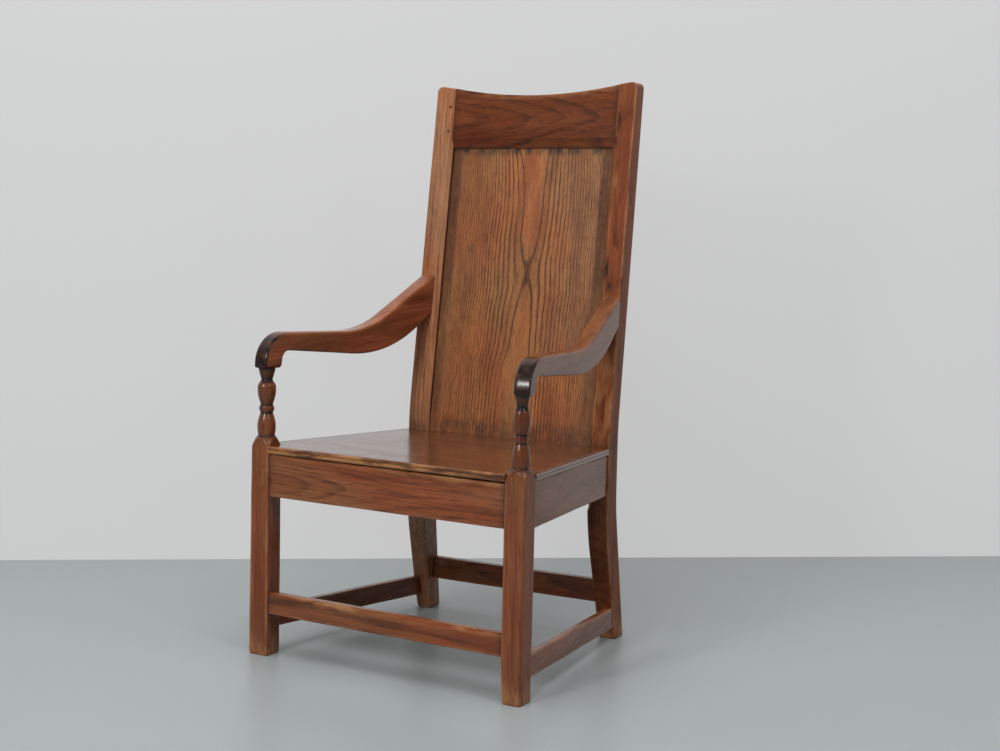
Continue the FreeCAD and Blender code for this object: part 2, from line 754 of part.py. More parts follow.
def back_seat_rail(stiles):
    body = new_body("back_seat_rail")
    low = stile_inner("back_rail_bottom")
    high = stile_inner("seat_under")
    outline = [
        (f"-{low}", "back_rail_bottom"),
        (low, "back_rail_bottom"),
        (high, "seat_under"),
        (f"-{high}", "seat_under"),
    ]
    pad(body, front_sketch(body, "board", "back_face", outline), "back_rail_thickness", backwards=True)
    bed(body)
    start = ("panel_bottom - fit", "panel_recess - fit")
    corner = ("-half_back", leaning_depth(*start), leaning_height(*start))
    span = ("back_width", "panel_thickness + 2 * fit", "back_rail_height")
    block(body, "groove", corner, span, "-back_lean")
    height = "(back_rail_height - panel_groove)"
    for name, side in SIDES.items():
        inner = stile_inner("back_rail_top")
        depth = "back_face + back_rail_thickness - tenon_thickness - peg_fit"
        cross_tenon(body, stiles[name], f"back_{name}", side, inner, depth, "back_rail_bottom", height)
        for number, share in enumerate(PEG_SHARES, 1):
            base = (f"{side} * ({inner} + peg_inset)", "back_face + stile_depth",
                    f"back_rail_bottom + {share} * {height}")
            title = f"back_rail_peg_{name}_{number}"
            peg("seat_rail_pegs", (stiles[name], body), title, base, (1, 0, 0), "90")


# Seat: one broad board notched round the four posts and nailed down on the rails
def seat_board(rails):
    body = new_body("seat_board")
    leg_notch = "(leg_section + fit + seat_shift)"
    stile_notch = "(back_face - fit)"
    edge = "(panel_front - fit)"
    half = [
        ("(leg_inner - fit)", "0"),
        ("(leg_inner - fit)", leg_notch),
        ("half_front", leg_notch),
        (stile_outer("seat_height"), stile_notch),
        (f"({stile_inner('seat_under')} - 2 * fit)", stile_notch),
        (f"({stile_inner('seat_under')} - 2 * fit)", edge),
    ]
    corners = half + [(f"-{x}", y) for x, y in reversed(half)]
    board = plan_sketch(body, "board", "seat_height", corners, "-seat_slope")
    pad(body, board, "seat_thickness", backwards=True)
    middle = f"({leg_notch} + {stile_notch}) / 2"
    halfway = f"(half_front + {half[3][0]}) / 2"
    level = f"seat_height - {middle} * seat_pitch"
    spots = [("0", "0", "seat_height"), (halfway, middle, level), (f"-{halfway}", middle, level)]
    soften(body, "nosing", edges_through(body, *spots), "seat_nosing")
    for name, (across, depth, rail) in NAILS.items():
        base = (across, depth, f"seat_height - {depth} * seat_pitch - nail_sink")
        peg("seat_nails", (body, rails[rail]), f"seat_nail_{name}", base, (1, 0, 0), "180", "nail_length",
            "nail_radius", 4)


# Stretchers near the floor
def front_stretcher(legs):
    body = new_body("front_stretcher")
    top = "(front_stretcher_bottom + front_stretcher_height)"
    outline = [
        ("-leg_inner", "front_stretcher_bottom"),
        ("leg_inner", "front_stretcher_bottom"),
        ("leg_inner", top),
        ("-leg_inner", top),
    ]
    board = front_sketch(body, "board", "stretcher_setback", outline)
    pad(body, board, "stretcher_thickness", backwards=True)
    soften(body, "wear", edges_through(body, ("0", "stretcher_setback", top)), "stretcher_wear")
    for name, side in SIDES.items():
        depth = "stretcher_setback + stretcher_thickness / 3"
        cross_tenon(body, legs[name], f"front_{name}_stretcher", side, "leg_inner", depth,
                    "front_stretcher_bottom", "front_stretcher_height")
        middle = "front_stretcher_bottom + front_stretcher_height / 2"
        base = (f"{side} * (leg_inner + peg_inset)", "0", middle)
        peg("stretcher_pegs", (legs[name], body), f"front_stretcher_peg_{name}", base, (1, 0, 0), "-90")


def side_stretcher(name, side, leg, stile):
    body = new_body(f"side_stretcher_{name}")
    tall = f"{name}_stretcher_height"
    ends = [
        ("leg_section", "(half_front - stretcher_setback)", f"{name}_stretcher_front"),
        ("foot_front", f"({stile_outer(tall)} - stretcher_setback)", f"{name}_stretcher_back"),
    ]
    sketches = []
    for depth, outer, bottom in ends:
        inner = f"({outer} - side_stretcher_thickness)"
        top = f"{bottom} + {tall}"
        corners = [
            (f"{side} * {outer}", bottom),
            (f"{side} * {outer}", top),
            (f"{side} * {inner}", top),
            (f"{side} * {inner}", bottom),
        ]
        sketches.append(front_sketch(body, f"end_{len(sketches)}", depth, corners))
    loft(body, *sketches)
    behind = ("front_width", "2 * stile_depth", "heel_height")
    block(body, "heel", ("-half_front", "foot_front - fit / 2", "0"), behind, "rear_rake")
    rear_middle = f"({name}_stretcher_back + {tall} / 2)"
    starts = ["leg_section - short_tenon", f"{rear_leg_face(rear_middle)} - tenon_root"]
    for number, post in enumerate((leg, stile)):
        depth, outer, bottom = ends[number]
        middle = f"{side} * ({outer} - side_stretcher_thickness / 2)"
        long_tenon(body, post, f"side_stretcher_{number}", middle, starts[number], bottom, tall)
    front_middle = f"{name}_stretcher_front + {tall} / 2"
    side_peg("stretcher_pegs", (leg, body), f"side_stretcher_peg_{name}_front", side,
             leg_outer(name, front_middle), "leg_section - peg_inset", front_middle)
    side_peg("stretcher_pegs", (stile, body), f"side_stretcher_peg_{name}_rear", side,
             stile_outer(rear_middle), f"{rear_leg_face(rear_middle)} + peg_inset", rear_middle)


def back_stretcher(stiles):
    body = new_body("back_stretcher")
    bottoms = {"left": "back_stretcher_bottom", "right": "(back_stretcher_bottom - back_stretcher_fall)"}
    tops = {name: f"({bottom} + back_stretcher_height)" for name, bottom in bottoms.items()}
    outline = [
        (f"-{calf_inner(bottoms['right'])}", bottoms["right"]),
        (calf_inner(bottoms["left"]), bottoms["left"]),
        (calf_inner(tops["left"]), tops["left"]),
        (f"-{calf_inner(tops['right'])}", tops["right"]),
    ]
    face = f"({rear_leg_back('back_stretcher_top')} - back_stretcher_thickness)"
    pad(body, front_sketch(body, "board", face, outline), "back_stretcher_thickness", backwards=True)
    for name, side in SIDES.items():
        middle = f"({bottoms[name]} + back_stretcher_height / 2)"
        depth = f"{face} + (back_stretcher_thickness - tenon_thickness) / 2"
        cross_tenon(body, stiles[name], f"back_{name}_stretcher", side, calf_inner(tops[name]), depth,
                    bottoms[name], "back_stretcher_height")
        base = (f"{side} * ({calf_inner(middle)} + peg_inset)", rear_leg_back(middle), middle)
        peg("stretcher_pegs", (stiles[name], body), f"back_stretcher_peg_{name}", base, (1, 0, 0),
            "90 deg + atan(calf_pitch)")


# Arms: sawn to an S from one thick piece, with a block below the hand that sits on the turned support
def arm(name, side, leg, stile):
    body = new_body(f"arm_{name}")
    height = f"{name}_arm_height"
    joint = f"({height} + ({name}_arm_rise + arm_under_rise) / 2)"
    depth = leaning_depth(f"(({joint} - kink_height) / cos(back_lean))", "0")
    outer = "(leg_axis + arm_overhang)"
    swing = f"atan(({outer} - {stile_outer(joint)}) / ({depth} - leg_middle))"
    reach = f"(({depth} - leg_middle) / cos({swing}))"
    bend = f"{name}_arm_bend"
    waist = f"{name}_waist_height"
    fall = f"{name}_hand_fall"
    back = f"{name}_hand_back"
    end = f"({reach} + 4 * overrun)"
    top_slope = f"({name}_arm_rise - hand_height + {fall}) / ({reach} - {bend})"
    under_slope = f"(arm_under_rise - {waist}) / ({reach} - arm_under_bend)"
    outline = [
        ("-hand_reach", "0"),
        ("-hand_reach", "hand_height"),
        (bend, f"hand_height - {fall}"),
        (end, f"{name}_arm_rise + 4 * overrun * {top_slope}"),
        (end, f"arm_under_rise + 4 * overrun * {under_slope}"),
        ("arm_under_bend", waist),
        (f"({back} + grip_flare)", "grip_height"),
        (back, "0"),
    ]
    base = ("leg_middle", height, f"{side} * {outer}")
    board = side_sketch(body, "board", outline, base, f"{side} * {swing}", (0, 1, 0))
    pad(body, board, "arm_back_width", backwards=side > 0)

    def spot(along, rise, inwards="0"):
        """Returns the place of a point of the arm's board, inwards from its outer face."""
        x = f"{side} * ({outer} - ({along}) * sin({swing}) - ({inwards}) * cos({swing}))"
        y = f"leg_middle + ({along}) * cos({swing}) - ({inwards}) * sin({swing})"
        return (x, y, f"{height} + {rise}")

    taper = [
        spot("-2 * hand_reach", "0", "arm_front_width"),
        spot("-2 * hand_reach", "0", "arm_back_width + overrun"),
        spot(reach, "0", "arm_back_width + overrun"),
        spot(reach, "0", "arm_back_width"),
    ]
    top = f"{height} + {name}_arm_rise + hand_height"
    pocket(body, plan_sketch(body, "taper", top, [corner[:2] for corner in taper]))
    curves = [
        ("hand", 1, "hand_radius"),
        ("bend", 2, "arm_bend_radius"),
        ("under", 5, "arm_under_radius"),
        ("grip", 6, "grip_radius"),
    ]
    for part, corner, radius in curves:
        soften(body, part, edges_through(body, spot(*outline[corner], "arm_front_width / 2")), radius)
    tops = [spot(f"{bend} / 2", f"hand_height - {fall} / 2", inwards) for inwards in ("0", "arm_front_width")]
    soften(body, "top_arris", edges_through(body, *tops), "arm_arris", "PartDesign::Chamfer")
    halfway = (f"({back} + grip_flare + arm_under_bend) / 2", f"(grip_height + {waist}) / 2")
    unders = [spot(*halfway, inwards) for inwards in ("0", "arm_front_width")]
    soften(body, "under_arris", edges_through(body, *unders), "arm_under_arris", "PartDesign::Chamfer")
    behind = ("front_width", "3 * stile_depth", "back_rise")
    block(body, "stile", ("-half_front", "back_face", "kink_height"), behind, "-back_lean")
    middle = f"{side} * ({stile_outer(joint)} - arm_back_width / 2)"
    corner = (f"{middle} - tenon_thickness / 2", f"{depth} - tenon_root", f"{joint} - arm_tenon_height / 2")
    tenon(body, stile, "arm", corner, ("tenon_thickness", "short_tenon + tenon_root", "arm_tenon_height"))
    face = stile_outer(joint)
    side_peg("arm_pegs", (stile, body), f"arm_peg_{name}", side, face, f"{depth} + peg_inset", joint)
    bore = body.newObject("PartDesign::SubtractiveCylinder", f"{body.Name}_bore")
    bind(bore, "Radius", "arm_pin_radius + fit")
    bind(bore, "Height", "arm_pin_length + fit")
    place(bore, "Placement", (f"{side} * leg_axis", "leg_middle", height))
    front = f"leg_middle - hand_reach / cos({swing}) + nail_sink"
    start = (f"{side} * leg_axis", front, f"{height} + nail_inset")
    nail = f"arm_nail_{name}"
    peg("arm_nails", (body, leg), nail, start, (1, 0, 0), "-90", "nail_length", "nail_radius", 4)


legs = {name: front_leg(name, side) for name, side in SIDES.items()}
stiles = {name: back_stile(name, side) for name, side in SIDES.items()}
crest_rail(stiles)
back_panel()
front_seat_rail(legs)
back_seat_rail(stiles)
front_stretcher(legs)
back_stretcher(stiles)
for name, side in SIDES.items():
    side_seat_rail(name, side, legs[name], stiles[name])
    side_stretcher(name, side, legs[name], stiles[name])
    arm(name, side, legs[name], stiles[name])
rails = {item.Name: item for item in document.Objects if item.TypeId == "PartDesign::Body"}
seat_board(rails)

# Pegs and nails of one kind and place share one sub-part of separate solids
for group, pins in pegs.items():
    bundle = document.addObject("Part::Compound", group)
    bundle.Label = group
    bundle.Links = pins
document.recompute()

# The finished chair stands with the middle of its footprint at the origin
pieces = [item for item in document.Objects if item.TypeId in ("PartDesign::Body", "Part::Compound")]
boxes = [piece.Shape.optimalBoundingBox(True, False) for piece in pieces]
across = (min(box.XMin for box in boxes) + max(box.XMax for box in boxes)) / 2
depth = (min(box.YMin for box in boxes) + max(box.YMax for box in boxes)) / 2
for piece in pieces:
    piece.Placement.Base = FreeCAD.Vector(-across, -depth, 0)
document.recompute()

for item in document.Objects:
    if "Invalid" in item.State or "Error" in item.State:
        raise RuntimeError(f"{item.Name} is {item.State}")
os.makedirs("parts", exist_ok=True)
for piece in pieces:
    if piece.Shape.isNull() or not piece.Shape.isValid():
        raise RuntimeError(f"{piece.Label} is not a valid solid")
    piece.Shape.exportStep(f"parts/{piece.Label}.step")
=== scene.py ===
"""Wainscot chair: a joined armchair of reddish polished wood with a tall panel back, in a pale studio."""
import math

import bpy
import numpy as np
from mathutils import Matrix, Vector


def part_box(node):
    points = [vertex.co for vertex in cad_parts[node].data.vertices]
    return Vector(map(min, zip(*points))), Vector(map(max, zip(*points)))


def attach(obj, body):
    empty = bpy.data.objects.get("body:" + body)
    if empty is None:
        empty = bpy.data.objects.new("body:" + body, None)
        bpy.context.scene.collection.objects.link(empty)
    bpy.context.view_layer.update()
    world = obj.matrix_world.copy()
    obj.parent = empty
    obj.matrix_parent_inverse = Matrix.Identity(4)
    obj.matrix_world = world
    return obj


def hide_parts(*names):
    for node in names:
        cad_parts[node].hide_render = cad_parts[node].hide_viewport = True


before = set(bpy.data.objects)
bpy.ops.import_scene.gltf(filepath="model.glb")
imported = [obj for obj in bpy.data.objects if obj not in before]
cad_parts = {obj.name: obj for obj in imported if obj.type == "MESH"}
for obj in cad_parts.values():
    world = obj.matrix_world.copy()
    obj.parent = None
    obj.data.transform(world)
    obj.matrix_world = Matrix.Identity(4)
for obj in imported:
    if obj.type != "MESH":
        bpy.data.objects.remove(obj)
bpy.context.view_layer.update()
rail_low, rail_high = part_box("front_seat_rail")
MIDDLE_X = (rail_low.x + rail_high.x) / 2
FRONT_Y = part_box("front_leg_left")[0].y


# The camera stands to the sitter's left of the chair and a little above its arms, as in the photograph.
# Its place and turns were solved from the chair's own edges.
def placed(name, data):
    """An object of the scene with its mesh, lamp or camera."""
    thing = bpy.data.objects.new(name, data)
    bpy.context.scene.collection.objects.link(thing)
    return thing


YAW, PITCH, ROLL = 0.5246, 0.0995, 0.0237
level = Vector((-math.sin(YAW), math.cos(YAW), 0))
beside = Vector((math.cos(YAW), math.sin(YAW), 0))
upright = Vector((0, 0, 1))
ahead = level * math.cos(PITCH) - upright * math.sin(PITCH)
tilted = level * math.sin(PITCH) + upright * math.cos(PITCH)
right = beside * math.cos(ROLL) + tilted * math.sin(ROLL)
above = tilted * math.cos(ROLL) - beside * math.sin(ROLL)
lens = bpy.data.cameras.new("camera")
lens.lens = 55.95
camera = placed("camera", lens)
turn = Matrix((right, above, -ahead)).transposed().to_4x4()
camera.matrix_world = Matrix.Translation((1.6651 + MIDDLE_X, -2.4311 + FRONT_Y, 0.8906)) @ turn
bpy.context.scene.camera = camera


# The studio: a pale painted floor and a pale wall behind, both plain. The light is soft: a broad ceiling
# lamp, a window beside the camera on each hand, and a lamp that evens out the wall.
def new_material(name):
    """A material with its node tree and its shader."""
    material = bpy.data.materials.new(name)
    material.use_nodes = True
    return material, material.node_tree, material.node_tree.nodes["Principled BSDF"]


def wire(tree):
    """Returns short ways to add nodes to a tree: links, sums, noises, smooth ramps and mixes."""
    def link(source, socket):
        if isinstance(source, bpy.types.NodeSocket):
            tree.links.new(source, socket)
        else:
            socket.default_value = source

    def calc(kind, *values, clamp=False):
        node = tree.nodes.new("ShaderNodeMath")
        node.operation = kind
        node.use_clamp = clamp
        for value, socket in zip(values, node.inputs):
            link(value, socket)
        return node.outputs[0]

    def noise(vector, scale, detail=2.0, rough=0.5):
        stretch = tree.nodes.new("ShaderNodeVectorMath")
        stretch.operation = "MULTIPLY"
        link(vector, stretch.inputs[0])
        stretch.inputs[1].default_value = scale
        node = tree.nodes.new("ShaderNodeTexNoise")
        link(stretch.outputs[0], node.inputs["Vector"])
        node.inputs["Scale"].default_value = 1
        node.inputs["Detail"].default_value = detail
        node.inputs["Roughness"].default_value = rough
        return node.outputs["Fac"]

    def ramp(value, low, high, to_low=0.0, to_high=1.0):
        node = tree.nodes.new("ShaderNodeMapRange")
        node.interpolation_type = "SMOOTHSTEP"
        for number, socket in zip((value, low, high, to_low, to_high), node.inputs):
            link(number, socket)
        return node.outputs["Result"]

    def mix(share, first, second, kind="MIX"):
        node = tree.nodes.new("ShaderNodeMix")
        node.data_type = "RGBA"
        node.blend_type = kind
        for value, index in ((share, 0), (first, 6), (second, 7)):
            link(value, node.inputs[index])
        return node.outputs[2]

    return link, calc, noise, ramp, mix


def stage_plane(name, corner, across, up, colour, roughness, even=0.0):
    """A flat part of the studio. A wall with a share of evenness shows that much of its plain colour to
    the camera and in reflections, and nothing from behind."""
    corner, across, up = map(np.array, (corner, across, up))
    mesh = bpy.data.meshes.new(name)
    corners = np.array([corner, corner + across, corner + across + up, corner + up])
    mesh.from_pydata(corners.tolist(), [], [[0, 1, 2, 3]])
    material, tree, shader = new_material(name)
    shader.inputs["Base Color"].default_value = (*colour, 1)
    shader.inputs["Roughness"].default_value = roughness
    if even:
        link, calc, *_ = wire(tree)
        path = tree.nodes.new("ShaderNodeLightPath").outputs
        seen = calc("MAXIMUM", path["Is Camera Ray"], path["Is Glossy Ray"])
        seen = calc("MAXIMUM", seen, path["Is Transmission Ray"])
        glow = tree.nodes.new("ShaderNodeEmission")
        glow.inputs["Color"].default_value = (*colour, 1)
        front = tree.nodes.new("ShaderNodeMixShader")
        link(calc("MULTIPLY", seen, even), front.inputs[0])
        link(shader.outputs[0], front.inputs[1])
        link(glow.outputs[0], front.inputs[2])
        sides = tree.nodes.new("ShaderNodeMixShader")
        link(tree.nodes.new("ShaderNodeNewGeometry").outputs["Backfacing"], sides.inputs[0])
        link(front.outputs[0], sides.inputs[1])
        link(tree.nodes.new("ShaderNodeBsdfTransparent").outputs[0], sides.inputs[2])
        link(sides.outputs[0], tree.nodes["Material Output"].inputs["Surface"])
    mesh.materials.append(material)
    placed(name, mesh)


WALL_FOOT = np.array([MIDDLE_X - 1.3737, FRONT_Y + 0.3019, 0])
WALL_ALONG = np.array([0.7949, 0.6067, 0])
TO_CAMERA = np.array([0.6067, -0.7949, 0])
wall_start = WALL_FOOT - 4 * WALL_ALONG
stage_plane("floor", wall_start - 6 * TO_CAMERA, 15 * TO_CAMERA, 12 * WALL_ALONG,
            (0.308, 0.335, 0.338), 0.36)
stage_plane("wall", wall_start, 12 * WALL_ALONG, (0, 0, 4.5), (0.635, 0.637, 0.637), 0.8, 0.7)

world = bpy.data.worlds.new("studio")
world.use_nodes = True
sky = world.node_tree.nodes["Background"]
sky.inputs["Color"].default_value = (0.95, 0.97, 1.0, 1)
sky.inputs["Strength"].default_value = 0.12
bpy.context.scene.world = world


def lamp(name, place, target, size, power, mirrored=True):
    """A rectangular lamp turned from its place to its target; unless mirrored, no gloss shows it."""
    light = bpy.data.lights.new(name, "AREA")
    light.shape = "RECTANGLE"
    light.size, light.size_y = size
    light.energy = power
    piece = placed(name, light)
    piece.location = place
    piece.rotation_euler = (Vector(target) - Vector(place)).to_track_quat("-Z", "Y").to_euler()
    piece.visible_glossy = mirrored


lamp("ceiling", (0.3, -1.0, 3.6), (0.3, 0.2, 0), (3.6, 3.6), 135, False)
lamp("front_window", (-0.45, -3.7, 2.05), (0, 0, 0.55), (0.55, 0.8), 55)
lamp("side_window", (2.9, -1.3, 2.9), (0, 0, 0.6), (0.6, 1.0), 16)
lamp("wall_light", (3.3, 0.1, 2.6), (2.6, 3.2, 0.7), (1.2, 1.2), 30, False)
bpy.context.scene.view_settings.view_transform = "Standard"


# Front legs: square posts with eased arrises, the outer front one worn round on the sitter's left.
# Above the seat each is turned between centres into a round arm support with rings.
SHARP_RADIUS = 0.0032
WEAR_REACH = 0.0018


def rounded_rings(corners, radii, steps, sides):
    """Rounds every corner of every ring by an arc, and divides the straight sides between the arcs.

    corners holds rings by corners by two, radii one radius per corner. Returns the rounded rings and,
    for each point, how near it lies to an arris: one on a sharp arc and less on a wide one, falling to
    nought along the sides as the exponential of the distance.
    """
    radii = np.broadcast_to(np.asarray(radii, float), corners.shape[:2])[..., None]
    back = np.roll(corners, 1, 1) - corners
    on = np.roll(corners, -1, 1) - corners
    back /= np.linalg.norm(back, axis=-1, keepdims=True)
    on /= np.linalg.norm(on, axis=-1, keepdims=True)
    half = np.arccos(np.clip((back * on).sum(-1, keepdims=True), -1, 1)) / 2
    start = corners + back * radii / np.tan(half)
    end = corners + on * radii / np.tan(half)
    inward = back + on
    centre = corners + inward / np.linalg.norm(inward, axis=-1, keepdims=True) * radii / np.sin(half)
    sweep = math.pi - 2 * half
    share = np.linspace(0, 1, steps + 1)[None, None, :, None]
    first = (start - centre)[:, :, None]
    last = (end - centre)[:, :, None]
    wide = sweep[:, :, None]
    arcs = np.sin((1 - share) * wide) * first + np.sin(share * wide) * last
    arcs = centre[:, :, None] + arcs / np.sin(wide)
    step = np.linspace(0, 1, sides + 2)[None, None, 1:-1, None]
    straight = end[:, :, None] * (1 - step) + np.roll(start, -1, 1)[:, :, None] * step
    rings = np.concatenate([arcs, straight], 2).reshape(len(corners), -1, 2)
    side = np.linalg.norm(np.roll(start, -1, 1) - end, axis=-1)[:, :, None]
    run = side * np.minimum(step, 1 - step)[..., 0]
    sharp = np.clip(SHARP_RADIUS / radii, 0, 1)
    near = np.concatenate([sharp + 0 * arcs[..., 0], np.exp(-run / WEAR_REACH) * sharp], 2)
    return rings, near.reshape(len(corners), -1)


def skin(name, rings, wear_and_sheen, grime_and_shade):
    """Makes one closed piece from rings of points, each end closed by rings that shrink to its middle.

    The two masks hold the wear and dirt of each point, and on some pieces painted sheen and painted shade;
    they are kept as attributes for the wood.
    """
    shares = np.array([0.75, 0.4, 0.02])[:, None, None]
    low = rings[0].mean(0) + (rings[0] - rings[0].mean(0)) * shares[::-1]
    high = rings[-1].mean(0) + (rings[-1] - rings[-1].mean(0)) * shares
    masks = [np.pad(np.broadcast_to(mask, rings.shape[:2]), ((3, 3), (0, 0)), mode="edge")
             for mask in (wear_and_sheen, grime_and_shade)]
    rings = np.concatenate([low, rings, high])
    rows, columns = rings.shape[:2]
    number = np.arange(rows * columns).reshape(rows, columns)
    beside_it = np.roll(number, -1, 1)
    quads = np.stack([number[:-1], beside_it[:-1], beside_it[1:], number[1:]], -1).reshape(-1, 4)
    faces = quads.tolist() + [number[0][::-1].tolist(), number[-1].tolist()]
    points = rings.reshape(-1, 3)
    corner = points[quads]
    outward = np.cross(corner[:, 2] - corner[:, 0], corner[:, 3] - corner[:, 1])
    spoke = corner.mean(1) - np.repeat((rings[:-1].mean(1) + rings[1:].mean(1)) / 2, columns, 0)
    if (outward * spoke).sum() < 0:
        faces = [face[::-1] for face in faces]
    mesh = bpy.data.meshes.new(name)
    mesh.from_pydata((points + np.array([MIDDLE_X, FRONT_Y, 0])).tolist(), [], faces)
    for title, mask in zip(("wear_and_sheen", "grime_and_shade"), masks):
        layer = mesh.attributes.new(title, "FLOAT", "POINT")
        layer.data.foreach_set("value", np.clip(mask, 0, 1).astype(np.float32).ravel())
    mesh.shade_smooth()
    mesh.set_sharp_from_angle(angle=math.radians(38))
    piece = placed(name, mesh)
    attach(piece, "root")
    return piece


def wobble(along, *seeds, size):
    """A slow hand-made unevenness along a piece: the sum of three sine waves with seeded lengths."""
    return size * sum(np.sin(along * (5 + 6 * seed) + seed * 2.3) for seed in seeds) / len(seeds)


LEG = 0.0215  # half the width of the square
LEG_AXIS = 0.2945
ARRIS = 0.0022
POMMEL = 0.007  # height that the square's corners reach above its end
SHAVED = 0.0002  # a skin lies this far inside its solid
# share of the support's height, then the radius as a share of half the leg on the left and on the right
TURNING = np.array([
    (0.000, 0.805, 0.900), (0.050, 0.800, 0.895), (0.064, 0.720, 0.775), (0.085, 0.756, 0.800),
    (0.125, 0.800, 0.845), (0.170, 0.812, 0.866), (0.235, 0.775, 0.850), (0.300, 0.700, 0.765),
    (0.347, 0.620, 0.652), (0.378, 0.540, 0.575), (0.404, 0.570, 0.663), (0.435, 0.600, 0.727),
    (0.460, 0.595, 0.700), (0.482, 0.562, 0.600), (0.500, 0.556, 0.585), (0.535, 0.620, 0.655),
    (0.560, 0.655, 0.715), (0.620, 0.715, 0.818), (0.680, 0.731, 0.866), (0.745, 0.710, 0.862),
    (0.780, 0.670, 0.800), (0.806, 0.600, 0.640), (0.838, 0.503, 0.519), (0.880, 0.533, 0.600),
    (0.930, 0.578, 0.700), (0.990, 0.695, 0.797), (1.000, 0.700, 0.800),
])


def front_leg(name, side, square, arm_height, corner, taper, flare):
    """Level rings: a square with eased corners, cut at each height to the turner's radius.

    The radius is the profile's above the square, and below it grows with the drop from the pommel's top.
    The corner is the outer front one's radius; taper and flare are the foot's, inwards and outwards.
    """
    column = 1 if side > 0 else 2
    low = np.array([0, 0.0012, 0.003, 0.006])
    shaft = np.linspace(0.012, square - 0.022, 60)
    neck = np.linspace(square - 0.02, square - 0.0002, 26)
    rise = arm_height - square
    step = np.linspace(0, 1, 191)
    profile = np.interp(step, TURNING[:, 0], TURNING[:, column])
    padded = np.pad(profile, 2, mode="edge")
    profile = np.convolve(padded, [0.1, 0.22, 0.36, 0.22, 0.1], mode="valid")
    turned_heights = square + rise * step
    turned_radii = LEG * profile
    heights = np.concatenate([low, shaft, neck, turned_heights])
    half = LEG - SHAVED
    corners = np.array([[half, -half], [half, half], [-half, half], [-half, -half]])
    corners = np.repeat(corners[None], len(heights), 0)
    rings, near = rounded_rings(corners, [corner, ARRIS, ARRIS, ARRIS], 6, 11)
    distance = np.linalg.norm(rings, axis=-1)
    drop = (square + POMMEL - heights)[:, None]
    shoulder = LEG * 0.76 + 0.011 * (np.clip(drop, 0, None) / 0.021) ** 0.7 + 0.002 * (drop > 0)
    limit = np.where(drop > 0.035, 1.0, np.where(drop > 0, shoulder, 0))
    limit[-len(step):] = np.maximum(turned_radii[:, None], limit[-len(step):])
    is_turned = (heights > square + POMMEL)[:, None]
    radius = np.minimum(distance, limit)
    rings = rings * (radius / distance)[..., None]
    tall = heights[:, None]
    spread = np.where(rings[..., 0] > 0, 1 + flare * np.clip(1 - tall / square, 0, 1) / LEG,
                      1 - taper * np.clip(1 - tall / 0.075, 0, 1) / LEG)
    eased = 1 - 0.06 * np.clip(1 - tall / 0.004, 0, 1)
    x = side * (LEG_AXIS + rings[..., 0] * spread * eased)
    y = LEG + rings[..., 1] * eased
    inner_part = np.clip(tall / 0.05, 0, 1) * np.clip((square - tall) / 0.05, 0, 1)
    x = x + wobble(tall, 1, 2.1, 3.7, size=0.0003) * inner_part
    points = np.stack([x, y, np.broadcast_to(tall, x.shape)], -1)
    turned_share = (tall - square) / rise
    grooves = sum(np.exp(-((turned_share - at) / wide) ** 2) for at, wide in
                  ((0.062, 0.012), (0.378, 0.016), (0.49, 0.016), (0.83, 0.03), (1.0, 0.02)))
    dark = 0.45 * np.clip((turned_share - 0.78) / 0.06, 0, 1) + 0.18
    grime_and_shade = np.where(is_turned, 0.9 * np.clip(grooves, 0, 1) + dark, 0.75 * np.exp(-np.abs(drop) / 0.006))
    foot = np.clip(1 - tall / 0.05, 0, 1)
    wear_and_sheen = np.where(is_turned, 0.0, 0.7 * near * (radius >= distance - 1e-5) + 1.3 * foot)
    return skin(name, points, wear_and_sheen, grime_and_shade)


# Old wood, for every piece: rings round a distant pith, long fibres, pores and slow flames. On it lies
# what long use leaves: rubbed arrises, grime in the corners and an uneven polish, with painted shade and
# sheen in a few places.
def new_group(name, inputs, outputs):
    """An empty shader group and its two end nodes. A socket is given by its kind, or a number's value."""
    group = bpy.data.node_groups.new(name, "ShaderNodeTree")
    for way, sockets in (("INPUT", inputs), ("OUTPUT", outputs)):
        for title, kind in sockets.items():
            if isinstance(kind, str):
                group.interface.new_socket(title, in_out=way, socket_type=f"NodeSocket{kind}")
            else:
                socket = group.interface.new_socket(title, in_out=way, socket_type="NodeSocketFloat")
                socket.default_value = kind
    return group, group.nodes.new("NodeGroupInput"), group.nodes.new("NodeGroupOutput")


